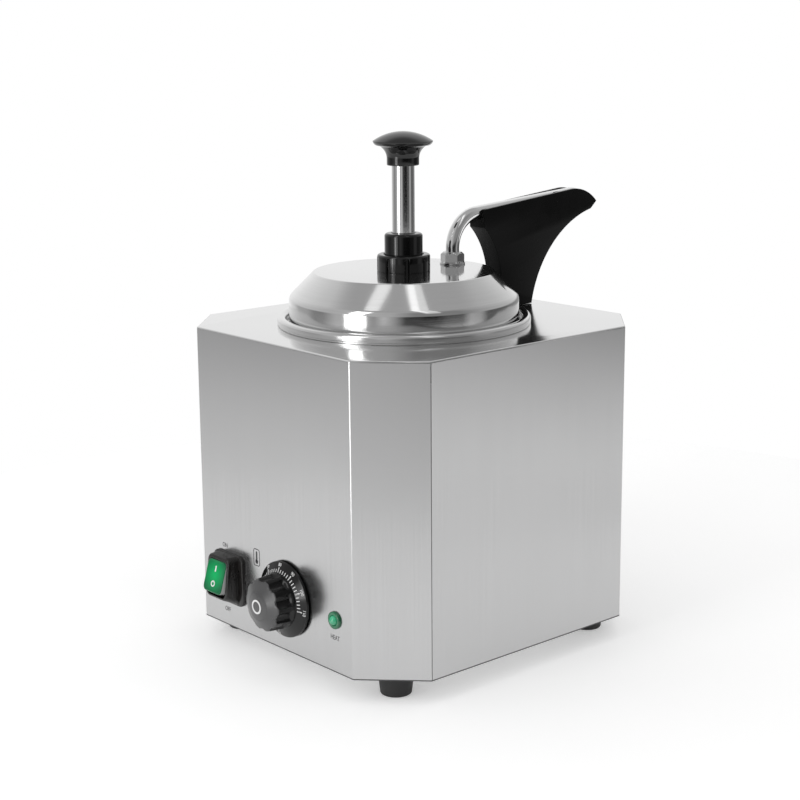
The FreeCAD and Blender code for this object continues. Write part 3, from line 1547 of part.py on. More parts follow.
def make_spout_guard():
    """The moulded guard: a tall hollow fin, open along its top, that snaps on to the tube."""
    body = new_body("spout_guard")
    wall = s.guard_wall
    crest = (guard_crest, guard_edge(guard_crest))
    foot_front = rim_outer + s.guard_foot_gap
    foot_back = foot_front + s.guard_foot_length
    waist = rim_outer - s.guard_waist_inset
    lip = guard_tip - s.guard_lip_inset
    cradle_back = rim_outer + s.cradle_reach
    side = new_sketch(body, "YZ_Plane")
    outline(side, [
        (foot_front, s.guard_pad_gap), (foot_back, s.guard_pad_gap, -GUARD_BULGE),
        (lip, s.guard_lip_height), (guard_tip, s.guard_tip_height, NOSE_BULGE),
        crest, (guard_front, s.guard_top),
        (guard_front, s.guard_chin_height, -CHIN_BULGE), (waist, s.guard_waist_height)])
    pad(body, side, s.guard_width, middle=True)
    inner = s.guard_width - wall * 2
    bend_end = tube_corners()[4]
    top = crest[1] + s.overrun * 2

    def floor_at(place_y):
        rise = (place_y - bend_end[0]) * sine(s.tube_slope) / cosine(s.tube_slope)
        return bend_end[1] + rise - s.tube_radius - s.guard_floor
    front = guard_front + s.cradle_length
    rear = cradle_back + s.cradle_length
    channel = new_sketch(body, "YZ_Plane")
    outline(channel, [
        (waist + wall * 2, s.guard_waist_height),
        (foot_back - wall * 2, s.guard_waist_height, -GUARD_BULGE),
        (cradle_back, floor_at(cradle_back)), (cradle_back, top), (front, top),
        (front, floor_at(front))])
    pocket(body, channel, inner, middle=True)
    nose = new_sketch(body, "YZ_Plane")
    outline(nose, [
        (rear, floor_at(rear)), (lip - wall, s.guard_lip_height + wall),
        (guard_tip + wall, s.guard_lip_height + wall), (guard_tip + wall, top), (rear, top)])
    pocket(body, nose, inner, middle=True)
    for start, end in ((guard_front - s.overrun, front), (cradle_back, rear)):
        middle = (start + end) / 2
        height = floor_at(middle) + s.tube_radius + s.guard_floor
        ring = circle(new_sketch(body, "XZ_Plane", -end - s.overrun / 2), ZERO, height,
                      s.tube_radius + s.fit_gap)
        pocket(body, ring, end - start + s.overrun, reverse=True)
    place(body, y=well_y, z=deck_top)


# Plunger

def make_knob():
    """The push knob."""
    bore = s.stem_radius + s.run_gap
    high = s.knob_height
    rise = high - s.knob_rim_height
    points = [(bore, ZERO), (s.knob_skirt_radius, ZERO),
              (s.knob_skirt_radius, s.knob_skirt_height, KNOB_NECK_BULGE),
              (s.knob_neck_radius, s.knob_neck_height),
              (s.knob_under_radius, s.knob_under_height, KNOB_RIM_BULGE),
              (s.knob_radius, s.knob_rim_height, dome(s.knob_radius, rise)), (ZERO, high),
              (ZERO, s.knob_socket), (bore, s.knob_socket)]
    turned("knob", points, y=well_y, z=knob_low())


def guide_high():
    """Height of the guide's top above the deck."""
    return lid_top + s.collar_height + s.guide_height


def knob_low():
    """Height of the knob's underside at rest."""
    return deck_top + guide_high() + s.stroke + s.knob_stop_gap


def stem_low():
    """Height of the stem's lower end at rest."""
    return deck_top + lid_top - s.piston_drop


def make_plunger():
    """The stem, the piston's cup, its nut and the return spring."""
    high = knob_low() + s.knob_socket - s.fit_gap - stem_low()
    inner = s.stem_radius - s.stem_wall
    thread = s.stem_radius / 2
    tail = s.piston_height + s.piston_nut_height
    points = [(ZERO, -tail), (thread, -tail), (thread, ZERO), (s.stem_radius, ZERO),
              (s.stem_radius, high), (inner, high), (inner, s.stem_wall), (ZERO, s.stem_wall)]
    turned("plunger_stem", points, y=well_y, z=stem_low())
    bore = s.cylinder_radius - s.cylinder_wall
    cup = bore - s.run_gap
    eye = thread + s.run_gap
    points = [(eye, -s.piston_height), (cup - s.piston_wall, -s.piston_height),
              (cup - s.piston_wall, -s.piston_height / 2), (cup - s.piston_lip, -s.piston_height),
              (cup, -s.piston_height), (cup, ZERO), (eye, ZERO)]
    turned("piston_cup", points, y=well_y, z=stem_low())
    nut = new_body("piston_nut")
    plan = hexagon(new_sketch(nut, "XY_Plane"), s.piston_nut_width)
    circle(plan, ZERO, ZERO, eye)
    pad(nut, plan, s.piston_nut_height, reverse=True)
    place(nut, y=well_y, z=stem_low() - s.piston_height)


def make_return_spring():
    """The return spring between the ball cage and the piston's cup, as turns of wire."""
    low = deck_top + cylinder_low() + s.cage_wire + s.run_gap
    high = stem_low() - s.piston_height - s.run_gap
    body = new_body("return_spring")
    wire = circle(new_sketch(body), s.spring_radius, s.spring_wire / 2, s.spring_wire / 2)
    coil = body.newObject("PartDesign::AdditiveHelix", "return_spring_coil")
    coil.Profile = wire
    coil.ReferenceAxis = (wire, ["V_Axis"])
    coil.Mode = "pitch-height-angle"
    bind(coil, "Height", high - low - s.spring_wire)
    bind(coil, "Pitch", (high - low - s.spring_wire) / SPRING_TURNS)
    doc.recompute()
    place(body, y=well_y, z=low)


def build():
    """Make every piece in order."""
    make_front_panel()
    make_rear_wrap()
    make_top_deck()
    make_base_plate()
    make_corner_brackets()
    make_base_screws()
    make_seam_strips()
    make_feet()
    make_heating_well()
    make_band_heater()
    make_clamp_screw()
    make_well_insulation()
    make_bulb()
    make_capillary()
    make_jar()
    make_thermostat()
    make_shaft()
    make_dial()
    make_switch()
    make_rocker()
    make_pilot()
    make_wiring()
    make_lid()
    make_pump_cylinder()
    make_lock_collar()
    make_guide_cap()
    make_valve()
    make_discharge_tube()
    make_spout_nuts()
    make_spout_guard()
    make_knob()
    make_plunger()
    make_return_spring()


def check():
    """Stop if any object failed or any piece has a bad shape."""
    doc.recompute()
    for item in doc.Objects:
        if {"Invalid", "Error"} & set(item.State):
            raise ValueError(f"{item.Label} failed: {item.State}")
    for item in NODES:
        if item.Shape.isNull() or not item.Shape.isValid():
            raise ValueError(f"{item.Label} has a bad shape")


def write():
    """Write each piece to its own file."""
    os.makedirs("parts", exist_ok=True)
    for item in NODES:
        item.Shape.exportStep(f"parts/{item.Label}.step")
        box = item.Shape.BoundBox
        print(f"{item.Label}: {len(item.Shape.Solids)} solid(s), {item.Shape.Volume:.0f} mm3, "
              f"x {box.XMin:.1f} to {box.XMax:.1f}, y {box.YMin:.1f} to {box.YMax:.1f}, "
              f"z {box.ZMin:.1f} to {box.ZMax:.1f}")


build()
check()
write()
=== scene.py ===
"""Looks of the topping warmer: finishes, finely shaped pieces, studio and camera.

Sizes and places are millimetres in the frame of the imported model. Meshes are written in metres.
"""

import logging
import math
from dataclasses import dataclass
from enum import Enum
from typing import Callable
from typing import Sequence

import bmesh
import bpy
from mathutils import Matrix
from mathutils import Vector
from mathutils.geometry import convex_hull_2d


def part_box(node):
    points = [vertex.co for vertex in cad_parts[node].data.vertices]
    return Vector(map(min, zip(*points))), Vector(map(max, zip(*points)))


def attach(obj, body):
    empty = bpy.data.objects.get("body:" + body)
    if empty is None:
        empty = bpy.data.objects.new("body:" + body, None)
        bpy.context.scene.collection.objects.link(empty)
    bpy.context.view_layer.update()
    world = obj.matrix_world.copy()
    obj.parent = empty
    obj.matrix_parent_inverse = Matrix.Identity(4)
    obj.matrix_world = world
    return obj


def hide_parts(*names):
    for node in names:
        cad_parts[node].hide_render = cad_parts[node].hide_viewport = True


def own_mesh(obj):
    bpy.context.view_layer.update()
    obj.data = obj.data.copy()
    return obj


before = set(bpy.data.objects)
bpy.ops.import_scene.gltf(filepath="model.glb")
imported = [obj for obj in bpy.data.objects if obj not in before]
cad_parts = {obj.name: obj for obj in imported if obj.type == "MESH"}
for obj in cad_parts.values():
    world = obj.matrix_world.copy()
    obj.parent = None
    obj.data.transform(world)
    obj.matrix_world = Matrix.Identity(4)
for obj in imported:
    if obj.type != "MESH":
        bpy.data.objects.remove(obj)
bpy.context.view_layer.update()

MM = 0.001
PHOTO_WIDTH = 800
FRONT_TURN = Matrix.Rotation(math.radians(90), 4, "X")
BACK_TURN = Matrix.Rotation(math.radians(-90), 4, "X")
log = logging.getLogger("warmer")

Point = tuple[float, float]
Corner = tuple[float, ...]
Shape = Callable[[float, float, float], float]


class Body(Enum):
    """The bodies that pieces ride on."""

    HOUSING = "housing"
    JAR = "jar"
    LID_SET = "lid_set"
    PLUNGER = "plunger"
    DIAL = "dial"
    ROCKER = "rocker"


class Grain(Enum):
    """Which way the marks of a metal finish run."""

    UPRIGHT = "upright"
    TURNED = "turned"
    NONE = "none"


def box_of(node: str) -> tuple[Vector, Vector]:
    """Give a node's box.

    Args:
        node: The node's name.

    Returns:
        Its lowest and highest corners, in millimetres.
    """
    low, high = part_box(node)
    return low / MM, high / MM


def middle_of(node: str) -> Vector:
    """Give the middle of a node's box, in millimetres."""
    low, high = box_of(node)
    return (low + high) / 2


def front_place(node: str) -> Matrix:
    """Where the axis through a node's middle meets the front panel, turned to face the front."""
    middle = middle_of(node)
    return Matrix.Translation((middle.x, FRONT_Y, middle.z)) @ FRONT_TURN


class Draft:
    """Corners and faces of one piece, in millimetres, before it is an object."""

    def __init__(self) -> None:
        """Start with nothing."""
        self.corners: list[Vector] = []
        self.faces: list[tuple[int, ...]] = []
        self.spread: list[list[Point]] = []

    def add_grid(self, rows: Sequence[Sequence[Vector]], loop_rows: bool, loop_columns: bool) -> None:
        """Add a sheet of quads.

        Args:
            rows: Rows of points, each as long as the others.
            loop_rows: Whether the last row joins the first.
            loop_columns: Whether each row closes on itself.
        """
        start = len(self.corners)
        count = len(rows)
        width = len(rows[0])
        for row in rows:
            self.corners.extend(row)
        for i in range(count if loop_rows else count - 1):
            for j in range(width if loop_columns else width - 1):
                after = (i + 1) % count
                beside = (j + 1) % width
                self.faces.append((start + i * width + j, start + i * width + beside,
                                   start + after * width + beside, start + after * width + j))
                self.spread.append([(i / count, j / width), (i / count, (j + 1) / width),
                                    ((i + 1) / count, (j + 1) / width),
                                    ((i + 1) / count, j / width)])

    def add_face(self, ring: Sequence[Vector]) -> None:
        """Add one flat face."""
        start = len(self.corners)
        self.corners.extend(ring)
        self.faces.append(tuple(range(start, start + len(ring))))
        self.spread.append([(0.0, 0.0)] * len(ring))

    def add_draft(self, other: "Draft", place: Matrix) -> None:
        """Add another draft, moved by a matrix in millimetres."""
        start = len(self.corners)
        self.corners.extend(place @ corner for corner in other.corners)
        self.faces.extend(tuple(start + number for number in face) for face in other.faces)
        self.spread.extend(other.spread)

    def mesh(self, name: str, place: Matrix, smooth: float) -> bpy.types.Mesh:
        """Make the mesh in metres.

        Args:
            name: The mesh's name.
            place: Where it goes, in millimetres.
            smooth: Edges sharper than this many degrees stay crisp.

        Returns:
            The mesh, with merged seams and outward faces.
        """
        mesh = bpy.data.meshes.new(name)
        mesh.from_pydata(self.corners, [], self.faces)
        layer = mesh.uv_layers.new(name="Turned")
        flat = [value for face in self.spread for spot in face for value in spot]
        layer.data.foreach_set("uv", flat)
        tidy_mesh(mesh)
        mesh.transform(Matrix.Scale(MM, 4) @ place)
        shade(mesh, smooth)
        return mesh


def tidy_mesh(mesh: bpy.types.Mesh) -> None:
    """Merge doubled corners and point the faces outwards."""
    sheet = bmesh.new()
    sheet.from_mesh(mesh)
    bmesh.ops.remove_doubles(sheet, verts=sheet.verts, dist=0.0005)
    bmesh.ops.dissolve_degenerate(sheet, edges=sheet.edges, dist=0.0001)
    bmesh.ops.recalc_face_normals(sheet, faces=sheet.faces)
    sheet.to_mesh(mesh)
    sheet.free()


def shade(mesh: bpy.types.Mesh, smooth: float) -> None:
    """Shade a mesh smooth, with crisp edges above an angle in degrees."""
    mesh.polygons.foreach_set("use_smooth", [True] * len(mesh.polygons))
    mesh.set_sharp_from_angle(angle=math.radians(smooth))
    mesh.update()


def rounded(points: Sequence[Corner], steps: int = 6, closed: bool = True) -> list[Point]:
    """Round the corners of a plan.

    Args:
        points: Corners as (x, y) or (x, y, radius).
        steps: Pieces in each rounded corner.
        closed: Whether the last corner joins the first.

    Returns:
        The plan's points.
    """
    found: list[Point] = []
    count = len(points)
    for number, point in enumerate(points):
        here = Vector(point[:2])
        radius = point[2] if len(point) > 2 else 0.0
        at_end = not closed and number in (0, count - 1)
        if radius <= 0 or at_end:
            found.append((here.x, here.y))
            continue
        before = Vector(points[number - 1][:2]) - here
        after = Vector(points[(number + 1) % count][:2]) - here
        half = before.angle(after) / 2
        reach = min(radius / math.tan(half), before.length * 0.49, after.length * 0.49)
        radius = reach * math.tan(half)
        first = here + before.normalized() * reach
        last = here + after.normalized() * reach
        centre = here + (before.normalized() + after.normalized()).normalized() * radius / math.sin(half)
        start = first - centre
        sweep = start.angle_signed(last - centre)
        for step in range(steps + 1):
            angle = -sweep * step / steps
            turned = Vector((start.x * math.cos(angle) - start.y * math.sin(angle),
                             start.x * math.sin(angle) + start.y * math.cos(angle)))
            found.append((centre.x + turned.x, centre.y + turned.y))
    return found


def oblong(half: float, low: float, top: float, corner: float, steps: int) -> list[Point]:
    """Plan of an oblong with rounded corners, with the same count of points for every size."""
    return rounded([(-half, low, corner), (half, low, corner), (half, top, corner),
                    (-half, top, corner)], steps)


def divided(profile: Sequence[Point], steps: int, long_one: Callable[[Point, Point], bool],
            closed: bool) -> list[Point]:
    """Divide the long straight pieces of a profile.

    Args:
        profile: The profile's points.
        steps: Pieces that each long one is divided into.
        long_one: Says of two neighbouring points whether the piece between them is divided.
        closed: Whether the last point joins the first.

    Returns:
        The profile with the added points.
    """
    found: list[Point] = []
    ends = list(profile[1:]) + (list(profile[:1]) if closed else [])
    for first, last in zip(profile, ends):
        found.append(first)
        if long_one(first, last):
            found += [(first[0] + (last[0] - first[0]) * n / steps,
                       first[1] + (last[1] - first[1]) * n / steps) for n in range(1, steps)]
    return found if closed else found + [profile[-1]]


def dome_bulge(radius: float, rise: float) -> float:
    """Bulge that makes an arc from a dome's edge to its top meet the axis squarely."""
    return (math.hypot(radius, rise) - radius) / rise


def bowed(first: Point, last: Point, bulge: float, steps: int = 16) -> list[Point]:
    """Points of an arc between two points.

    Args:
        first: Where it starts.
        last: Where it ends, which the list leaves out.
        bulge: Sagitta over half the chord, positive to the right of the way.
        steps: Pieces in the arc.

    Returns:
        The arc's points.
    """
    a = Vector(first)
    b = Vector(last)
    chord = b - a
    middle = (a + b) / 2
    side = Vector((chord.y, -chord.x)) / 2
    if abs(bulge) < 1e-6:
        return [first]
    offset = (1 - bulge * bulge) / (2 * bulge)
    centre = middle - side * offset
    angle = 4 * math.atan(bulge)
    start = a - centre
    points = []
    for step in range(steps):
        turn = angle * step / steps
        points.append((centre.x + start.x * math.cos(turn) - start.y * math.sin(turn),
                       centre.y + start.x * math.sin(turn) + start.y * math.cos(turn)))
    return points


def lathe(profile: Sequence[Point], steps: int = 128, closed: bool = False,
          shape: Shape | None = None) -> Draft:
    """Turn a half profile about the upright axis.

    Args:
        profile: (radius, height) points, from one end to the other.
        steps: Pieces round the axis.
        closed: Whether the profile closes on itself.
        shape: Gives a radius from an angle, a radius and a height, where the piece isn't round.

    Returns:
        The turned draft.
    """
    draft = Draft()
    rows = []
    for number in range(steps):
        angle = 2 * math.pi * number / steps
        row = []
        for radius, height in profile:
            reach = shape(angle, radius, height) if shape and radius > 0 else radius
            row.append(Vector((reach * math.cos(angle), reach * math.sin(angle), height)))
        rows.append(row)
    draft.add_grid(rows, True, closed)
    return draft


def slab(plan: Sequence[Point], low: float, high: float, edge: float = 0.0, steps: int = 3) -> Draft:
    """Raise a plan into a slab with eased edges.

    Args:
        plan: Points of the plan, anticlockwise.
        low: Height of its underside.
        high: Height of its top.
        edge: How far its edges are rounded.
        steps: Pieces in each rounded edge.

    Returns:
        The slab's draft.
    """
    draft = Draft()
    levels = [(edge * (1 - math.sin(math.pi / 2 * n / steps)),
               edge * (1 - math.cos(math.pi / 2 * n / steps))) for n in range(steps + 1)]
    rings = [(inset, low + rise) for inset, rise in levels] if edge else [(0.0, low)]
    rings += [(inset, high - rise) for inset, rise in reversed(levels)] if edge else [(0.0, high)]
    rows = []
    for inset, height in rings:
        rows.append([Vector((x, y, height)) for x, y in shrunk(plan, inset)])
    draft.add_grid(rows, False, True)
    draft.add_face(rows[0][::-1])
    draft.add_face(rows[-1])
    return draft


def shrunk(plan: Sequence[Point], inset: float) -> list[Point]:
    """Draw a plan in by a distance along its corners."""
    if inset == 0:
        return list(plan)
    found = []
    count = len(plan)
    for number, point in enumerate(plan):
        before = (Vector(point) - Vector(plan[number - 1])).normalized()
        after = (Vector(plan[(number + 1) % count]) - Vector(point)).normalized()
        normal = Vector((-before.y - after.y, before.x + after.x))
        if normal.length < 1e-6:
            found.append(tuple(point))
            continue
        normal.normalize()
        stretch = max(0.5, normal.dot(Vector((-after.y, after.x))))
        found.append((point[0] + normal.x * inset / stretch, point[1] + normal.y * inset / stretch))
    return found


def sweep(path: Sequence[Vector], outer: float, inner: float, steps: int = 40) -> Draft:
    """Run a round tube along a path that lies in an upright plane.

    Args:
        path: Points of its centre line.
        outer: The tube's radius.
        inner: Its bore's radius.
        steps: Pieces round it.

    Returns:
        The tube, with open ends.
    """
    draft = Draft()
    side = Vector((1, 0, 0))
    rows: list[list[Vector]] = []
    for radius in (outer, inner):
        part = []
        for number, spot in enumerate(path):
            before = path[max(number - 1, 0)]
            after = path[min(number + 1, len(path) - 1)]
            up = side.cross(after - before).normalized()
            ring = []
            for step in range(steps):
                angle = 2 * math.pi * step / steps
                ring.append(spot + side * radius * math.cos(angle) + up * radius * math.sin(angle))
            part.append(ring)
        rows += part if radius == outer else part[::-1]
    draft.add_grid(rows, True, True)
    return draft


def put_input(tree: bpy.types.NodeTree, node: bpy.types.Node, key: str | int, value: object) -> None:
    """Set one input of a node, or join it to another node's output."""
    if isinstance(value, bpy.types.NodeSocket):
        tree.links.new(value, node.inputs[key])
    else:
        node.inputs[key].default_value = value


def add_node(tree: bpy.types.NodeTree, kind: str, values: dict | None = None,
             **settings: object) -> bpy.types.Node:
    """Add a node to a tree.

    Args:
        tree: The tree.
        kind: The node's type.
        values: Its inputs by name or number, each a value or another node's output.
        settings: Its own settings.

    Returns:
        The node.
    """
    node = tree.nodes.new(kind)
    for key, value in settings.items():
        setattr(node, key, value)
    for key, value in (values or {}).items():
        put_input(tree, node, key, value)
    return node


class NodeSheet:
    """A material's nodes, added and joined in short calls."""

    def __init__(self, name: str) -> None:
        """Start a material with one shader."""
        self.material = bpy.data.materials.new(name)
        self.material.use_nodes = True
        self.tree = self.material.node_tree
        self.shader = self.tree.nodes["Principled BSDF"]

    def add(self, kind: str, values: dict | None = None, **settings: object) -> bpy.types.Node:
        """Add a node with its inputs and settings."""
        return add_node(self.tree, kind, values, **settings)

    def put(self, key: str, value: object) -> None:
        """Set or join one input of the material's shader."""
        put_input(self.tree, self.shader, key, value)

    def spot(self, scale: Sequence[float], centre: Sequence[float] = (0, 0, 0)) -> bpy.types.NodeSocket:
        """Give object coordinates about a centre, in repeats per metre along each axis."""
        coords = self.add("ShaderNodeTexCoord")
        moved = self.add("ShaderNodeVectorMath", {0: coords.outputs["Object"], 1: centre},
                         operation="SUBTRACT")
        scaled = self.add("ShaderNodeVectorMath", {0: moved.outputs[0], 1: scale},
                          operation="MULTIPLY")
        return scaled.outputs[0]

    def rings(self, scale: float, centre: Sequence[float]) -> bpy.types.NodeSocket:
        """Give coordinates that change with the distance from an upright axis and with height."""
        flat = self.spot((1, 1, 0), centre)
        reach = self.add("ShaderNodeVectorMath", {0: flat}, operation="LENGTH")
        tall = self.add("ShaderNodeSeparateXYZ", {0: self.spot((1, 1, 1), centre)})
        pair = self.add("ShaderNodeCombineXYZ", {0: reach.outputs["Value"], 1: tall.outputs[2]})
        return self.add("ShaderNodeVectorMath", {0: pair.outputs[0], "Scale": scale},
                        operation="SCALE").outputs[0]

    def noise(self, vector: bpy.types.NodeSocket, scale: float = 1.0, detail: float = 3.0,
              rough: float = 0.55) -> bpy.types.NodeSocket:
        """Give a noise from 0 to 1."""
        return self.add("ShaderNodeTexNoise", {"Vector": vector, "Scale": scale, "Detail": detail,
                                               "Roughness": rough}).outputs[0]

    def span(self, value: bpy.types.NodeSocket, low: float, high: float,
             start: float = 0.3, end: float = 0.7) -> bpy.types.NodeSocket:
        """Map a noise's middle range to a range."""
        return self.add("ShaderNodeMapRange", {0: value, 1: start, 2: end, 3: low, 4: high}).outputs[0]

    def mixed(self, factor: bpy.types.NodeSocket, first: Sequence[float],
              second: Sequence[float]) -> bpy.types.NodeSocket:
        """Mix two colours by a factor."""
        node = self.add("ShaderNodeMix", {0: factor}, data_type="RGBA")
        node.inputs[6].default_value = (*first, 1)
        node.inputs[7].default_value = (*second, 1)
        return node.outputs[2]

    def bump(self, height: bpy.types.NodeSocket, distance: float, strength: float = 1.0) -> None:
        """Raise the surface by a height, in metres."""
        node = self.add("ShaderNodeBump", {"Height": height, "Distance": distance,
                                           "Strength": strength})
        self.put("Normal", node.outputs[0])


@dataclass(frozen=True)
class Finish:
    """What every finish has: a name and a way to make its material once."""

    name: str

    def material(self) -> bpy.types.Material:
        """Give the finish's material, made at its first use and apart from the frame's own ones."""
        label = "look_" + self.name
        found = bpy.data.materials.get(label)
        if found is not None:
            return found
        sheet = NodeSheet(label)
        self.paint(sheet)
        return sheet.material

    def paint(self, sheet: NodeSheet) -> None:
        """Fill the material's nodes."""
        raise NotImplementedError


@dataclass(frozen=True)
class Metal(Finish):
    """Sheet or bar metal with grain, faint clouding and wear."""

    tint: tuple[float, float, float] = (0.6, 0.6, 0.6)
    rough: float = 0.3
    rough_swing: float = 0.05
    tone_swing: float = 0.03
    grain: Grain = Grain.NONE
    centre: tuple[float, float, float] = (0.0, 0.0, 0.0)
    fineness: float = 2200.0
    depth: float = 0.000004
    stretch: float = 0.0

    def paint(self, sheet: NodeSheet) -> None:
        """Fill the material's nodes."""
        if self.grain is Grain.UPRIGHT:
            vector = sheet.spot((self.fineness, self.fineness, self.fineness / 160))
        elif self.grain is Grain.TURNED:
            vector = sheet.rings(self.fineness, self.centre)
        else:
            vector = sheet.spot((self.fineness,) * 3)
        lines = sheet.noise(vector, detail=4.0, rough=0.7)
        cloud = sheet.noise(sheet.spot((9, 9, 9)), detail=2.0)
        both = sheet.add("ShaderNodeMath", {0: lines, 1: sheet.span(cloud, -0.06, 0.06)},
                         operation="ADD").outputs[0]
        low = [max(0.0, value - self.tone_swing) for value in self.tint]
        high = [min(1.0, value + self.tone_swing) for value in self.tint]
        factor = sheet.span(both, 0.0, 1.0)
        sheet.put("Base Color", sheet.mixed(factor, low, high))
        sheet.put("Metallic", 1.0)
        sheet.put("Roughness",
                  sheet.span(both, self.rough + self.rough_swing, self.rough - self.rough_swing))
        if self.depth > 0:
            sheet.bump(lines, self.depth, 0.5)
        if self.stretch > 0:
            tangent = sheet.add("ShaderNodeTangent", direction_type="UV_MAP", uv_map="Turned")
            sheet.put("Tangent", tangent.outputs[0])
            sheet.put("Anisotropic", self.stretch)
            sheet.put("Anisotropic Rotation", 0.25)


@dataclass(frozen=True)
class Moulded(Finish):
    """Moulded plastic or rubber: fine skin, faint clouding and a soft gloss."""

    tint: tuple[float, float, float] = (0.02, 0.02, 0.02)
    rough: float = 0.3
    rough_swing: float = 0.05
    skin: float = 2500.0
    depth: float = 0.00001
    lift: float = 0.3
    shine: float = 0.5

    def paint(self, sheet: NodeSheet) -> None:
        """Fill the material's nodes."""
        skin = sheet.noise(sheet.spot((self.skin,) * 3), detail=2.0)
        cloud = sheet.noise(sheet.spot((60, 60, 60)), detail=3.0)
        lighter = [value * (1 + self.lift) for value in self.tint]
        sheet.put("Base Color",
                  sheet.mixed(sheet.span(cloud, 0.0, 1.0), self.tint, lighter))
        sheet.put("Roughness",
                  sheet.span(cloud, self.rough - self.rough_swing, self.rough + self.rough_swing))
        sheet.put("Specular IOR Level", self.shine)
        sheet.bump(skin, self.depth, 0.4)


@dataclass(frozen=True)
class LampAndPaintedGlow(Finish):
    """Clear coloured plastic that glows brighter about a centre: lamp light on the pilot's lens and
    bezel, and painted glow with painted shade towards the edges on the rocker, which has no lamp.
    """

    tint: tuple[float, float, float] = (0.01, 0.3, 0.1)
    glow: tuple[float, float, float] = (0.02, 0.6, 0.2)
    power: float = 0.4
    rough: float = 0.1
    centre: tuple[float, float, float] = (0.0, 0.0, 0.0)
    reach: float = 0.01
    shine: float = 0.3

    def paint(self, sheet: NodeSheet) -> None:
        """Fill the material's nodes."""
        near = sheet.add("ShaderNodeVectorMath", {0: sheet.spot((1, 1, 1), self.centre)},
                         operation="LENGTH").outputs["Value"]
        ribs = sheet.noise(sheet.spot((260, 260, 900)), detail=2.0)
        # Brighter base and glow near the centre: on the rocker this is a painted highlight that fades to
        # painted shade at its edges.
        fall = sheet.span(near, 1.0, 0.0, 0.0, self.reach)
        uneven = sheet.add("ShaderNodeMath", {0: fall, 1: sheet.span(ribs, 0.7, 1.15)},
                           operation="MULTIPLY").outputs[0]
        sheet.put("Base Color", sheet.mixed(fall, self.tint, self.glow))
        sheet.put("Emission Color", sheet.mixed(uneven, self.tint, self.glow))
        sheet.put("Emission Strength", self.power)
        sheet.put("Roughness", self.rough)
        sheet.put("Specular IOR Level", self.shine)
        sheet.bump(ribs, 0.00003, 0.4)


@dataclass(frozen=True)
class Wool(Finish):
    """Glass wool: matt tangled fibres."""

    tint: tuple[float, float, float] = (0.78, 0.72, 0.5)

    def paint(self, sheet: NodeSheet) -> None:
        """Fill the material's nodes."""
        fibres = sheet.noise(sheet.spot((700, 700, 250)), detail=6.0, rough=0.75)
        darker = [value * 0.6 for value in self.tint]
        sheet.put("Base Color",
                  sheet.mixed(sheet.span(fibres, 0.0, 1.0), darker, self.tint))
        sheet.put("Roughness", 0.95)
        sheet.put("Sheen Weight", 0.4)
        sheet.bump(fibres, 0.0006)


WELL_BOX = box_of("heating_well")
WELL_X = (WELL_BOX[0].x + WELL_BOX[1].x) / 2
LID_BOX = box_of("lid")
AXIS_Y = (LID_BOX[0].y + LID_BOX[1].y) / 2
AXIS = (WELL_X * MM, AXIS_Y * MM, 0.0)
DECK_TOP = box_of("top_deck")[1].z
FRONT_Y = -box_of("rear_wrap")[1].y + 2 * middle_of("base_plate").y


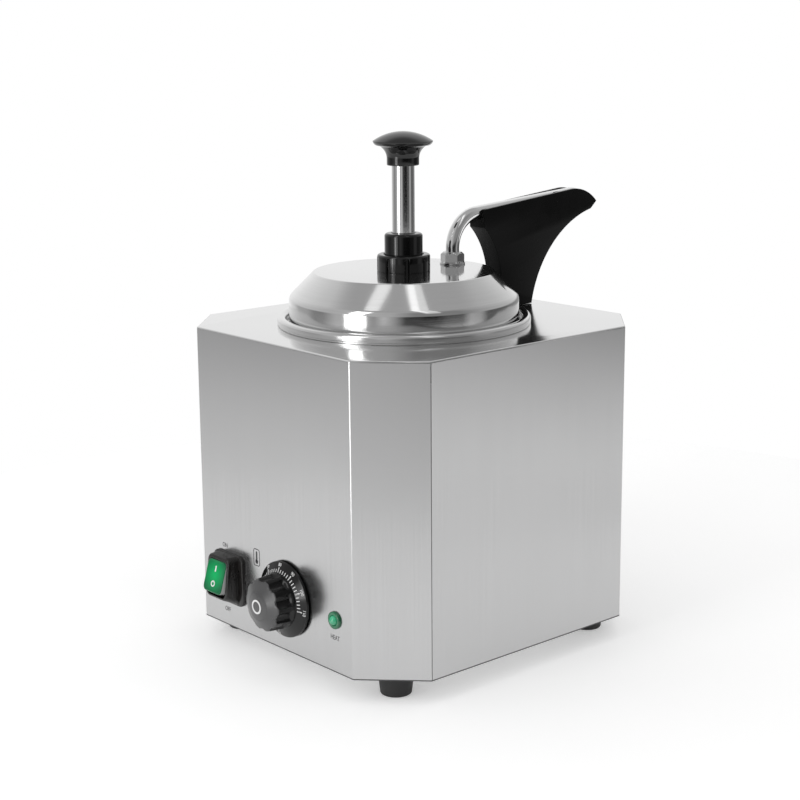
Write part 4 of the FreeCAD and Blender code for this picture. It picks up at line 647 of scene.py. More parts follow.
@dataclass(frozen=True)
class Finishes:
    """Every finish on the warmer."""

    panel: Metal = Metal("brushed_panel", (0.535, 0.535, 0.537), 0.23, 0.02, 0.008, Grain.UPRIGHT,
                         fineness=1500.0, depth=0.000001)
    deck: Metal = Metal("polished_deck", (0.7, 0.7, 0.7), 0.135, 0.015, 0.01, fineness=600.0, depth=0.0)
    rim: Metal = Metal("rolled_rim", (0.68, 0.68, 0.68), 0.16, 0.03, 0.03, Grain.TURNED, AXIS,
                       1500.0, 0.000002, 0.6)
    lid: Metal = Metal("spun_lid", (0.69, 0.69, 0.69), 0.105, 0.03, 0.03, Grain.TURNED, AXIS,
                       2400.0, 0.000002, 0.45)
    satin_steel: Metal = Metal("drawn_steel", (0.66, 0.66, 0.66), 0.24, 0.05, 0.03, fineness=700.0)
    steel: Metal = Metal("mill_steel", (0.6, 0.6, 0.6), 0.35, 0.08, 0.04, fineness=300.0)
    chrome: Metal = Metal("polished_tube", (0.78, 0.78, 0.78), 0.09, 0.02, 0.02, fineness=900.0,
                          depth=0.0)
    nut: Metal = Metal("turned_nut", (0.52, 0.52, 0.52), 0.1, 0.04, 0.04, fineness=1200.0)
    zinc: Metal = Metal("zinc_plate", (0.62, 0.63, 0.66), 0.3, 0.1, 0.05, fineness=500.0)
    copper: Metal = Metal("drawn_copper", (0.72, 0.38, 0.22), 0.25, 0.08, 0.05, fineness=500.0)
    brass: Metal = Metal("bright_brass", (0.75, 0.56, 0.25), 0.22, 0.06, 0.05, fineness=600.0)
    gloss: Moulded = Moulded("black_gloss", (0.003, 0.003, 0.003), 0.06, 0.015, 1200.0, 0.000002,
                             shine=0.5)
    guard: Moulded = Moulded("guard_moulding", (0.002, 0.002, 0.002), 0.3, 0.05, 1600.0, 0.000006,
                             shine=0.1)
    satin: Moulded = Moulded("black_satin", (0.002, 0.002, 0.0021), 0.16, 0.03, 1500.0, 0.00001,
                             shine=0.4)
    # Crown of the dial knob and its cap: the tint, far lighter than the grip's black, is painted light on
    # the front face; the deep bump is real grain.
    crown: Moulded = Moulded("crown_grain_and_painted_light", (0.03, 0.03, 0.031), 0.3, 0.06, 3000.0, 0.00008,
                             shine=1.0)
    skirt: Moulded = Moulded("rocker_side", (0.42, 0.43, 0.425), 0.2, 0.05, 900.0, 0.00001)
    hood: Moulded = Moulded("switch_hood", (0.009, 0.008, 0.0075), 0.26, 0.05, 2600.0, 0.00001,
                            shine=0.6)
    rubber: Moulded = Moulded("foot_rubber", (0.015, 0.015, 0.0152), 0.6, 0.08, 1500.0, 0.00003)
    nylon: Moulded = Moulded("dark_nylon", (0.06, 0.06, 0.062), 0.5, 0.08, 900.0, 0.00002)
    white: Moulded = Moulded("white_ink", (0.78, 0.78, 0.78), 0.5, 0.05, 900.0, 0.000003, lift=0.05)
    black_ink: Moulded = Moulded("black_ink", (0.035, 0.035, 0.037), 0.5, 0.05, 900.0, 0.000003)
    wool: Wool = Wool("glass_wool")


FINISHES = Finishes()


def dress(piece: bpy.types.Object, finish: Finish, body: Body, slot: str,
          *replaced: str) -> bpy.types.Object:
    """Give a piece its finish and its body, and hide the nodes that it stands for.

    Args:
        piece: The piece's object, in place.
        finish: Its finish.
        body: The body that it rides on.
        slot: Not used.
        replaced: Nodes that it stands for.

    Returns:
        The piece.
    """
    piece.data.materials.clear()
    piece.data.materials.append(finish.material())
    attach(piece, body.value)
    if replaced:
        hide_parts(*replaced)
    log.info("%s: %d faces, rides on %s", piece.name, len(piece.data.polygons), body.value)
    return piece


def show(name: str, mesh: bpy.types.Mesh) -> bpy.types.Object:
    """Put a mesh into the scene as an object at the origin."""
    piece = bpy.data.objects.new(name, mesh)
    bpy.context.scene.collection.objects.link(piece)
    return piece


def make(name: str, draft: Draft, place: Matrix, smooth: float = 38.0) -> bpy.types.Object:
    """Make a piece from its draft.

    Args:
        name: The piece's name.
        draft: Its draft.
        place: Where it goes, in millimetres.
        smooth: Edges sharper than this many degrees stay crisp.

    Returns:
        The piece's object.
    """
    return show(name, draft.mesh(name, place, smooth))


def eased_copy(node: str, name: str, edge: float, smooth: float,
               steps: int = 3) -> bpy.types.Object:
    """Copy a node's shape with merged corners and eased edges.

    Args:
        node: The node to copy.
        name: The new piece's name.
        edge: How far its sharp edges are eased, in millimetres, or 0.
        smooth: Edges sharper than this many degrees stay crisp.
        steps: Pieces in each eased edge.

    Returns:
        The piece's object.
    """
    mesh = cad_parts[node].data.copy()
    mesh.name = name
    sheet = bmesh.new()
    sheet.from_mesh(mesh)
    bmesh.ops.remove_doubles(sheet, verts=sheet.verts, dist=2e-6)
    bmesh.ops.dissolve_limit(sheet, angle_limit=math.radians(0.6), verts=sheet.verts,
                             edges=sheet.edges)
    if edge > 0:
        sharp = [item for item in sheet.edges
                 if len(item.link_faces) == 2 and item.calc_face_angle(0.0) > math.radians(30)]
        bmesh.ops.bevel(sheet, geom=sharp, offset=edge * MM, offset_type="OFFSET", segments=steps,
                        profile=0.5, affect="EDGES", clamp_overlap=True)
    sheet.to_mesh(mesh)
    sheet.free()
    shade(mesh, smooth)
    return show(name, mesh)


class RepeatTree:
    """A node tree that repeats one mesh by equal turns and steps."""

    NAME = "repeated_piece"

    def __init__(self) -> None:
        """Build the tree."""
        self.tree = bpy.data.node_groups.new(self.NAME, "GeometryNodeTree")
        face = self.tree.interface
        face.new_socket("Geometry", in_out="INPUT", socket_type="NodeSocketGeometry")
        for name, kind in (("Count", "NodeSocketInt"), ("First Turn", "NodeSocketFloat"),
                           ("Turn", "NodeSocketFloat"), ("Step", "NodeSocketVector"),
                           ("Material", "NodeSocketMaterial")):
            face.new_socket(name, in_out="INPUT", socket_type=kind)
        face.new_socket("Geometry", in_out="OUTPUT", socket_type="NodeSocketGeometry")
        source = self.add("NodeGroupInput")
        result = self.add("NodeGroupOutput")
        index = self.add("GeometryNodeInputIndex")
        turn = self.sum_of(self.product(index.outputs[0], source.outputs["Turn"]),
                           source.outputs["First Turn"])
        angles = self.add("ShaderNodeCombineXYZ", {"Z": turn})
        rotation = self.add("FunctionNodeEulerToRotation", {0: angles.outputs[0]})
        shift = self.add("ShaderNodeVectorMath", {0: source.outputs["Step"], "Scale": index.outputs[0]},
                         operation="SCALE")
        points = self.add("GeometryNodePoints", {"Count": source.outputs["Count"],
                                                 "Position": shift.outputs[0]})
        copies = self.add("GeometryNodeInstanceOnPoints", {"Points": points.outputs[0],
                                                           "Instance": source.outputs["Geometry"],
                                                           "Rotation": rotation.outputs[0]})
        real = self.add("GeometryNodeRealizeInstances", {0: copies.outputs[0]})
        painted = self.add("GeometryNodeSetMaterial", {"Geometry": real.outputs[0],
                                                       "Material": source.outputs["Material"]})
        self.tree.links.new(painted.outputs[0], result.inputs[0])

    def add(self, kind: str, values: dict | None = None, **settings: object) -> bpy.types.Node:
        """Add a node with its inputs and settings."""
        return add_node(self.tree, kind, values, **settings)

    def product(self, first: bpy.types.NodeSocket, second: bpy.types.NodeSocket) -> bpy.types.NodeSocket:
        """Multiply two numbers."""
        return self.add("ShaderNodeMath", {0: first, 1: second}, operation="MULTIPLY").outputs[0]

    def sum_of(self, first: bpy.types.NodeSocket, second: bpy.types.NodeSocket) -> bpy.types.NodeSocket:
        """Add two numbers."""
        return self.add("ShaderNodeMath", {0: first, 1: second}, operation="ADD").outputs[0]

    def run(self, name: str, draft: Draft, place: Matrix, finish: Finish, count: int,
            first: float = 0.0, turn: float = 0.0, step: Vector | None = None) -> bpy.types.Object:
        """Repeat a draft and make the result a plain mesh.

        Args:
            name: The new piece's name.
            draft: The shape to repeat, about the origin.
            place: Where the set goes, in millimetres.
            finish: Its finish.
            count: How many copies.
            first: The first copy's turn about the upright axis, in degrees.
            turn: The turn from one copy to the next, in degrees.
            step: The move from one copy to the next, in millimetres.

        Returns:
            The piece's object.
        """
        seed = show(name + "_one", draft.mesh(name + "_one", Matrix.Identity(4), 38.0))
        modifier = seed.modifiers.new("repeat", "NODES")
        modifier.node_group = self.tree
        values = {"Count": count, "First Turn": math.radians(first), "Turn": math.radians(turn),
                  "Step": list((step or Vector((0, 0, 0))) * MM), "Material": finish.material()}
        for item in self.tree.interface.items_tree:
            if item.in_out == "INPUT" and item.name in values:
                modifier[item.identifier] = values[item.name]
        graph = bpy.context.evaluated_depsgraph_get()
        mesh = bpy.data.meshes.new_from_object(seed.evaluated_get(graph))
        bpy.data.objects.remove(seed)
        mesh.name = name
        mesh.transform(Matrix.Scale(MM, 4) @ place @ Matrix.Scale(1 / MM, 4))
        return show(name, mesh)


def words(text: str, height: float, thickness: float, spacing: float = 1.0) -> bpy.types.Mesh:
    """Write plain letters as a thin flat mesh.

    Args:
        text: What to write.
        height: Height of its capitals, in millimetres.
        thickness: How far it stands off its surface, in millimetres.
        spacing: Space between letters over the usual.

    Returns:
        The mesh in millimetres, centred on the origin in the x and y plane.
    """
    curve = bpy.data.curves.new("letters_" + text, "FONT")
    curve.body = text
    curve.align_x = "CENTER"
    curve.align_y = "CENTER"
    curve.size = height / 0.7
    curve.space_character = spacing
    curve.extrude = thickness / 2
    curve.resolution_u = 4
    item = show("letters_" + text, curve)
    graph = bpy.context.evaluated_depsgraph_get()
    mesh = bpy.data.meshes.new_from_object(item.evaluated_get(graph))
    bpy.data.objects.remove(item)
    bpy.data.curves.remove(curve)
    mesh.transform(Matrix.Translation((0, 0, thickness / 2)))
    return mesh


def joined(name: str, parts: Sequence[tuple[bpy.types.Mesh, Matrix]]) -> bpy.types.Object:
    """Join meshes in millimetres into one piece in metres.

    Args:
        name: The piece's name.
        parts: Each mesh with its place in millimetres.

    Returns:
        The piece's object.
    """
    sheet = bmesh.new()
    for mesh, place in parts:
        mesh.transform(Matrix.Scale(MM, 4) @ place)
        sheet.from_mesh(mesh)
        bpy.data.meshes.remove(mesh)
    bmesh.ops.remove_doubles(sheet, verts=sheet.verts, dist=1e-7)
    whole = bpy.data.meshes.new(name)
    sheet.to_mesh(whole)
    sheet.free()
    shade(whole, 30.0)
    return show(name, whole)


def ring_plan(radius: float, steps: int) -> list[Point]:
    """Points of a circle about the origin."""
    return [(radius * math.cos(2 * math.pi * n / steps), radius * math.sin(2 * math.pi * n / steps))
            for n in range(steps)]


def band(outer: Sequence[Point], inner: Sequence[Point], low: float, high: float) -> Draft:
    """Raise the strip between two plans of equal count into a solid."""
    draft = Draft()
    rows = [[Vector((x, y, low)) for x, y in outer], [Vector((x, y, high)) for x, y in outer],
            [Vector((x, y, high)) for x, y in inner], [Vector((x, y, low)) for x, y in inner]]
    draft.add_grid(rows, True, True)
    return draft


@dataclass
class Case:
    """The folded case: front sheet, rear wrap, deck, base plate and the parts inside it."""

    shadow_strip_low: float = 16.02
    shadow_strip_high: float = 16.75
    shadow_strip_proud: float = 0.03

    def outline(self) -> list[Point]:
        """Give the plan of the case's sheets, as a convex outline."""
        spots = [Vector((corner.co.x / MM, corner.co.y / MM)) for name in ("front_panel", "rear_wrap")
                 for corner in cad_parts[name].data.vertices]
        return [(spots[number].x, spots[number].y) for number in convex_hull_2d(spots)]

    def build_painted_shadow_strip(self) -> None:
        """Make a dark strip along the sheets' bottom edge: painted shadow of the gap between the sheets
        and the base plate.
        """
        plan = self.outline()
        shadow_strip = band(shrunk(plan, -self.shadow_strip_proud), shrunk(plan, 0.5), self.shadow_strip_low, self.shadow_strip_high)
        # The dark nylon finish here is painted shadow, not a part made of nylon.
        dress(make("painted_shadow_strip", shadow_strip, Matrix.Identity(4)), FINISHES.nylon, Body.HOUSING, "dark_nylon")

    def build(self) -> None:
        """Make the visible panels."""
        self.build_painted_shadow_strip()
        parts = (("front_panel", "front_sheet", FINISHES.panel, "brushed_panel"),
                 ("rear_wrap", "wrap_sheet", FINISHES.panel, "brushed_panel"),
                 ("top_deck", "deck_sheet", FINISHES.deck, "polished_deck"),
                 ("base_plate", "base_sheet", FINISHES.steel, "plain_steel"))
        for node, name, finish, slot in parts:
            piece = eased_copy(node, name, 0.0, 50.0)
            dress(piece, finish, Body.HOUSING, slot, node)


@dataclass
class Well:
    """The drawn well with its rolled rim, and the jar that hangs in it."""

    rim_steps: int = 192
    corner: float = 10.0
    sheet: float = 1.0
    lid_gap: float = 1.9
    rim_width: float = 6.0
    ledge_width: float = 9.5
    seat: float = 0.02
    seat_flange: Point = (0.7, 0.45)

    def build(self) -> None:
        """Make the well and the jar."""
        low, high = box_of("heating_well")
        rim = (LID_BOX[1].x - LID_BOX[0].x) / 2 + self.lid_gap + self.rim_width
        mouth = rim - self.rim_width
        wall = mouth - self.ledge_width
        ledge = box_of("jar")[1].z - self.sheet
        floor = low.z + self.sheet
        crown = self.rim_width / 2
        top = high.z
        sheet = self.sheet
        inset, height = self.seat_flange
        inside = rounded([(0, floor), (wall, floor, self.corner), (wall, ledge, 0.6),
                          (mouth, ledge, 0.8), (mouth, top, crown), (rim, top, crown),
                          (rim, DECK_TOP + 0.8, 0.4), (rim - inset, DECK_TOP + height),
                          (rim - inset, DECK_TOP + self.seat)], 8, False)
        outside = rounded([(rim - sheet, DECK_TOP + self.seat), (rim - sheet, top - sheet, crown - sheet),
                           (mouth + sheet, top - sheet, crown - sheet),
                           (mouth + sheet, ledge - sheet, 0.3), (wall + sheet, ledge - sheet, 0.3),
                           (wall + sheet, floor - sheet, self.corner + sheet), (0, floor - sheet)],
                          8, False)
        draft = lathe(inside + outside, self.rim_steps)
        piece = make("well_and_rim", draft, Matrix.Translation((WELL_X, AXIS_Y, 0)))
        dress(piece, FINISHES.rim, Body.HOUSING, "polished_deck", "heating_well")
        jar = eased_copy("jar", "lift_out_jar", 0.15, 50.0)
        dress(jar, FINISHES.satin_steel, Body.JAR, "plain_steel", "jar")


@dataclass
class Lid:
    """The spun lid."""

    sheet: float = 0.8
    shoulder: float = 6.0
    edge: float = 1.8
    band_height: float = 17.3
    cone: float = 16.4
    hole: float = 14.3
    steps: int = 256

    def build(self) -> None:
        """Make the lid."""
        low, high = box_of("lid")
        outer = (high.x - low.x) / 2
        top = high.z
        turn = low.z + self.band_height
        flat = outer - self.cone
        thick = self.sheet
        slope = thick * math.tan(math.radians(22.5))
        over = rounded([(outer - thick, low.z), (outer, low.z, 0.3), (outer, turn, self.shoulder),
                        (flat, top, self.edge), (self.hole, top)], 10, False)
        under = rounded([(self.hole, top - thick), (flat - slope, top - thick, self.edge),
                         (outer - thick, turn - slope, self.shoulder - thick),
                         (outer - thick, low.z)], 8, False)
        draft = lathe(over + under[:-1], self.steps, True)
        piece = make("spun_lid", draft, Matrix.Translation((WELL_X, AXIS_Y, 0)))
        dress(piece, FINISHES.lid, Body.LID_SET, "lid_steel", "lid")


@dataclass
class Pump:
    """The hand pump above the lid: collar, guide, stem and knob."""

    collar_radius: float = 17.5
    collar_round: float = 1.5
    grooves: int = 8
    groove_width: float = 2.3
    groove_depth: float = 1.6
    guide_radius: float = 12.6
    guide_round: float = 1.9
    stem_radius: float = 7.5
    knob_radius: float = 19.7
    knob_rim: float = 15.8
    stroke: float = 42.0
    fit: float = 0.06
    collar_bore: float = 14.06
    collar_mouth: float = 13.3
    collar_cap: float = 2.0
    spigot_radius: float = 12.7
    spigot_length: float = 12.0
    guide_flange: float = 13.7
    tail_radius: float = 3.75
    tail_length: float = 13.0
    stem_wall: float = 1.2
    skirt: Point = (10.6, 4.8)
    neck: Point = (13.6, 11.2)
    flare: Point = (17.6, 13.0)
    socket: float = 9.0

    def collar_shape(self, high: float) -> Shape:
        """Give the rule of the collar's upright grooves below a height."""
        def shape(angle: float, radius: float, height: float) -> float:
            pitch = 2 * math.pi / self.grooves
            off = (angle + pitch / 4) % pitch - pitch / 2
            reach = abs(off) * self.collar_radius / (self.groove_width / 2)
            deep = self.groove_depth * max(0.0, min(1.0, (1.35 - reach) / 0.5))
            fade = max(0.0, min(1.0, (high - height) / 1.2))
            floor = self.collar_radius - deep * fade
            return min(radius, floor) if radius > self.collar_radius - 2.6 else radius
        return shape

    def build(self) -> None:
        """Make the collar, guide, stem and knob."""
        place = Matrix.Translation((WELL_X, AXIS_Y, 0))
        low, high = box_of("lock_collar")
        neck = high.z - self.collar_round
        cap = high.z - self.collar_cap
        profile = rounded([(self.collar_bore, low.z), (self.collar_radius, low.z, 0.35),
                           (self.collar_radius, high.z, self.collar_round),
                           (self.collar_mouth, high.z, 0.4), (self.collar_mouth, cap),
                           (self.collar_bore, cap)], 8)
        tall = divided(profile, 8, lambda first, last: abs(last[1] - first[1]) > 4 and first[0] > 15,
                       True)
        collar = make("grooved_collar", lathe(tall, 384, True, self.collar_shape(neck)), place, 30.0)
        dress(collar, FINISHES.gloss, Body.LID_SET, "black_gloss", "lock_collar")

        low, high = box_of("guide_cap")
        bore = self.stem_radius + self.fit
        spigot = low.z + self.spigot_length
        profile = rounded([(bore, low.z), (self.spigot_radius, low.z, 0.3),
                           (self.spigot_radius, spigot - 0.01), (self.guide_flange, spigot),
                           (self.guide_flange, spigot + 1.0), (self.guide_radius, spigot + 1.0),
                           (self.guide_radius, high.z, self.guide_round), (bore + 0.9, high.z, 0.5),
                           (bore, high.z - 0.8)], 8)
        guide = make("stem_guide", lathe(profile, 128, True), place)
        dress(guide, FINISHES.gloss, Body.LID_SET, "black_gloss", "guide_cap")

        low, high = box_of("plunger_stem")
        tail = low.z + self.tail_length
        inner = self.stem_radius - self.stem_wall
        profile = rounded([(0, low.z), (self.tail_radius, low.z, 0.5), (self.tail_radius, tail),
                           (self.stem_radius, tail, 0.3), (self.stem_radius, high.z),
                           (inner, high.z), (inner, tail + self.stem_wall),
                           (0, tail + self.stem_wall)], 4, False)
        stem = make("pump_stem", lathe(profile, 96), place)
        dress(stem, FINISHES.chrome, Body.PLUNGER, "chrome_tube", "plunger_stem")
        self.build_knob(place)
        self.build_spring()

    def build_spring(self) -> None:
        """Make the return spring, with a mesh of its own."""
        spring = eased_copy("return_spring", "pump_spring", 0.0, 60.0)
        dress(spring, FINISHES.zinc, Body.LID_SET, "zinc_fastener", "return_spring")
        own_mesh(spring)

    def build_knob(self, place: Matrix) -> None:
        """Make the knob: a skirt, a flared neck, a rolled rim and a low dome."""
        low, high = box_of("knob")
        base = low.z
        rise = high.z - base - self.knob_rim
        bore = self.stem_radius + self.fit
        turns = [(radius, base + height) for radius, height in (self.skirt, self.neck, self.flare)]
        edge = (self.knob_radius, base + self.knob_rim)
        skirt = rounded([(bore, base), (self.skirt[0], base, 0.7), turns[0]], 5, False)
        neck = bowed(turns[0], turns[1], -0.2)
        flare = bowed(turns[1], turns[2], -0.25, 8)
        rim = bowed(turns[2], edge, 0.25, 12)
        crown = bowed(edge, (0.0, high.z), dome_bulge(self.knob_radius, rise), 28)
        profile = skirt[:-1] + neck + flare + rim + crown + [(0.0, high.z)]
        inside = [(0.0, base + self.socket), (bore, base + self.socket)]
        draft = lathe(profile + inside + [(bore, base)], 160)
        knob = make("push_knob", draft, place, 44.0)
        dress(knob, FINISHES.gloss, Body.PLUNGER, "black_gloss", "knob")


@dataclass
class Spout:
    """The discharge tube, its nut and the moulded guard."""

    radius: float = 4.55
    wall: float = 0.9
    bend: float = 22.9
    slope: float = 4.0
    elbow: float = 12.0
    tip_bend: float = 16.0
    tip_turn: float = 50.0
    side: float = 43.8
    bend_lift: float = 44.1
    reach: float = 157.08
    nut_flats: float = 14.0
    flange: float = 8.6

    def arc(self, centre: Point, radius: float, start: float, end: float, steps: int) -> list[Point]:
        """Points of an arc in the upright plane, by angles in degrees."""
        found = []
        for step in range(steps + 1):
            angle = math.radians(start + (end - start) * step / steps)
            found.append((centre[0] + radius * math.cos(angle), centre[1] + radius * math.sin(angle)))
        return found

    def path(self) -> list[Vector]:
        """Points of the tube's centre line."""
        low = box_of("discharge_tube")[0]
        level = low.z + self.radius - DECK_TOP
        start = low.y - AXIS_Y
        slope = math.radians(self.slope)
        points = [(start, level)]
        points += self.arc((self.side - self.elbow, level + self.elbow), self.elbow, -90, 0, 12)
        points += self.arc((self.side + self.bend, self.bend_lift), self.bend, 180, 90 + self.slope, 32)
        end = (self.reach, points[-1][1] + (self.reach - points[-1][0]) * math.tan(slope))
        centre = (end[0] + self.tip_bend * math.sin(slope), end[1] - self.tip_bend * math.cos(slope))
        points += self.arc(centre, self.tip_bend, 90 + self.slope, 90 + self.slope - self.tip_turn, 16)
        return [Vector((WELL_X, AXIS_Y + y, DECK_TOP + z)) for y, z in points]

    def nut_shape(self, top: float) -> Shape:
        """Give the rule of a hexagon with rounded-off corners below a height."""
        def shape(angle: float, radius: float, height: float) -> float:
            if radius < self.nut_flats / 2 - 0.5:
                return radius
            part = (angle + math.pi / 6) % (math.pi / 3) - math.pi / 6
            flat = self.nut_flats / 2 / math.cos(part)
            limit = self.nut_flats / 2 + 1.05 - max(0.0, height - top + 1.7)
            return min(flat, radius, limit)
        return shape

    def build(self) -> None:
        """Make the tube, nuts and guard."""
        tube = make("spout_tube", sweep(self.path(), self.radius, self.radius - self.wall),
                    Matrix.Identity(4), 60.0)
        dress(tube, FINISHES.chrome, Body.LID_SET, "chrome_tube", "discharge_tube")
        low, high = box_of("spout_nut")
        bore = self.radius + 0.06
        foot = low.z + 1.2
        wide = self.nut_flats / 2 / math.cos(math.pi / 6)
        profile = rounded([(bore, low.z), (self.flange, low.z, 0.2), (self.flange, foot, 0.6),
                           (wide, foot), (wide, high.z), (bore, high.z, 0.4)], 5)
        tall = divided(profile, 16, lambda first, last: first[0] > 6 and last[1] - first[1] > 3, True)
        hexed = self.nut_shape(high.z)

        def shape(angle: float, radius: float, height: float) -> float:
            return hexed(angle, radius, height) if height > foot + 0.01 else radius
        nut = make("tube_nut", lathe(tall, 192, True, shape), Matrix.Translation(
            (WELL_X, AXIS_Y + self.side, 0)) @ Matrix.Rotation(math.radians(12), 4, "Z"), 24.0)
        dress(nut, FINISHES.nut, Body.LID_SET, "chrome_tube", "spout_nut")
        guard = eased_copy("spout_guard", "guard_fin", 0.7, 34.0, 3)
        dress(guard, FINISHES.guard, Body.LID_SET, "black_gloss", "spout_guard")


@dataclass
class Dial:
    """The thermostat's dial: bevelled skirt, fluted grip, cap, scale and numbers."""

    stand: float = 1.0
    edge: float = 1.5
    cone: float = 3.2
    skirt: float = 24.7
    grip_foot: float = 17.6
    foot_ease: float = 0.25
    grip_tip: float = 16.9
    grip_length: float = 13.4
    crown: float = 3.6
    cap_radius: float = 9.0
    flutes: int = 10
    flute_depth: float = 2.3
    flute_radius: float = 5.5
    flute_lift: float = 2.0
    tick_count: int = 41
    tick_turn: float = 6.75
    tick_start: float = 98.0
    tick_every: int = 5
    first_number: int = 30
    number_step: int = 10
    number_radius: float = 22.9
    number_height: float = 2.1
    mark_foot: float = 18.3
    short_mark: Point = (20.3, 0.55)
    long_mark: Point = (21.4, 0.75)
    turns: int = 400
    lip: float = 1.2
    cap_rise: float = 0.9
    cap_ring: Point = (4.6, 3.4)
    hollow: Point = (21.0, 3.6)
    socket: Point = (3.06, 12.0)

    def flute(self, foot: float) -> Shape:
        """Give the rule of the grip's flutes above a height."""
        centre = self.grip_foot - self.flute_depth + self.flute_radius

        def shape(angle: float, radius: float, height: float) -> float:
            if height < foot + 0.3 or radius < 9.5:
                return radius
            pitch = 2 * math.pi / self.flutes
            off = (angle - math.pi / 2 + pitch / 2) % pitch - pitch / 2
            inside = self.flute_radius ** 2 - (centre * math.sin(off)) ** 2
            if inside <= 0:
                return radius
            cut = centre * math.cos(off) - math.sqrt(inside)
            ease = max(0.0, min(1.0, (height - foot - self.flute_lift + 0.6) / 1.6))
            ease = ease * ease * (3 - 2 * ease)
            return min(radius, cut + (1 - ease) * max(0.0, radius - cut))
        return shape

    def cone_height(self, radius: float) -> float:
        """Height of the skirt's cone at a radius."""
        share = (self.skirt - radius) / (self.skirt - self.grip_foot - self.foot_ease)
        return self.stand + self.edge + self.cone * share

    def build(self, repeat: RepeatTree) -> None:
        """Make the dial.

        Args:
            repeat: The tree that repeats the ticks.
        """
        place = front_place("dial_cap")
        edge = self.stand + self.edge
        foot = edge + self.cone
        tip = foot + self.grip_length
        top = tip + self.crown
        seat = self.cap_radius + 0.03
        inner = self.skirt - self.lip
        grip = rounded([(inner, self.stand), (self.skirt, self.stand, 0.3), (self.skirt, edge, 0.35),
                        (self.grip_foot + self.foot_ease, foot, 0.5), (self.grip_tip, tip, 1.6),
                        (seat, top - 0.2, 0.1), (seat, top - 1.2), (0, top - 1.2)], 6, False)
        tall = divided(grip, 24, lambda first, last: last[1] - first[1] > 5, False)
        tall = divided(tall, 8, lambda first, last: first[0] - last[0] > 5 and last[1] - first[1] > 1.5,
                       False)
        split = next(number for number, spot in enumerate(tall) if spot[1] > tip - 0.6)
        crown = make("dial_crown", lathe(tall[split:], self.turns, False, self.flute(foot)), place, 32.0)
        dress(crown, FINISHES.crown, Body.DIAL, "black_satin")
        draft = lathe(tall[:split + 1], self.turns, False, self.flute(foot))
        bore, bore_top = self.socket
        rim, rim_top = self.hollow
        draft.add_draft(lathe([(0.0, bore_top), (bore, bore_top), (bore, rim_top), (rim, rim_top),
                               (rim, self.stand)], self.turns), Matrix.Identity(4))
        draft.add_grid([[Vector((x, y, self.stand)) for x, y in ring_plan(radius, self.turns)]
                        for radius in (rim, inner)], False, True)
        knob = make("fluted_dial", draft, place, 32.0)
        dress(knob, FINISHES.satin, Body.DIAL, "black_satin", "dial_knob")
        high = top + self.cap_rise
        edge_high = top - 0.25
        bulge = dome_bulge(self.cap_radius, high - edge_high)
        cap = [(0.0, top - 1.2), (self.cap_radius, top - 1.2)]
        cap += bowed((self.cap_radius, edge_high), (0.0, high), bulge, 24) + [(0.0, high)]
        dress(make("dial_cap_plain", lathe(cap, 128), place), FINISHES.crown, Body.DIAL,
              "dial_plate", "dial_cap")
        outer, inner = (ring_plan(radius, 96) for radius in self.cap_ring)
        ring = band(outer, inner, high - 0.6, high + 0.02)
        dress(make("cap_ring", ring, place), FINISHES.white, Body.DIAL, "dial_plate")
        self.build_scale(place, repeat)

    def tick(self, inner: float, outer: float, width: float) -> Draft:
        """Draft one mark that lies on the skirt's cone along the local y axis."""
        draft = Draft()
        rows = []
        for radius in (inner, outer):
            height = self.cone_height(radius)
            rows.append([Vector((side * width / 2, radius, height + lift))
                         for side, lift in ((-1, -0.1), (1, -0.1), (1, 0.07), (-1, 0.07))])
        draft.add_grid(rows, False, True)
        draft.add_face(rows[0][::-1])
        draft.add_face(rows[1])
        return draft

    def build_scale(self, place: Matrix, repeat: RepeatTree) -> None:
        """Make the ticks and numbers."""
        long_count = self.tick_count // self.tick_every + 1
        sets = (("scale_short_ticks", self.short_mark, self.tick_count, self.tick_turn),
                ("scale_long_ticks", self.long_mark, long_count, self.tick_turn * self.tick_every))
        for name, (outer, width), count, turn in sets:
            marks = repeat.run(name, self.tick(self.mark_foot, outer, width), place, FINISHES.white,
                               count, -self.tick_start, turn)
            dress(marks, FINISHES.white, Body.DIAL, "dial_plate")
        tilt = math.atan2(self.cone, self.skirt - self.grip_foot)
        parts = []
        for number in range(long_count):
            text = str(self.first_number + self.number_step * (long_count - 1 - number))
            angle = math.radians(-self.tick_start + self.tick_turn * self.tick_every * number)
            reach = Vector((0, self.number_radius, self.cone_height(self.number_radius)))
            spot = (Matrix.Rotation(angle, 4, "Z") @ Matrix.Translation(reach)
                    @ Matrix.Rotation(-tilt, 4, "X"))
            parts.append((words(text, self.number_height, 0.12), place @ spot))
        dress(joined("scale_numbers", parts), FINISHES.white, Body.DIAL, "dial_plate")


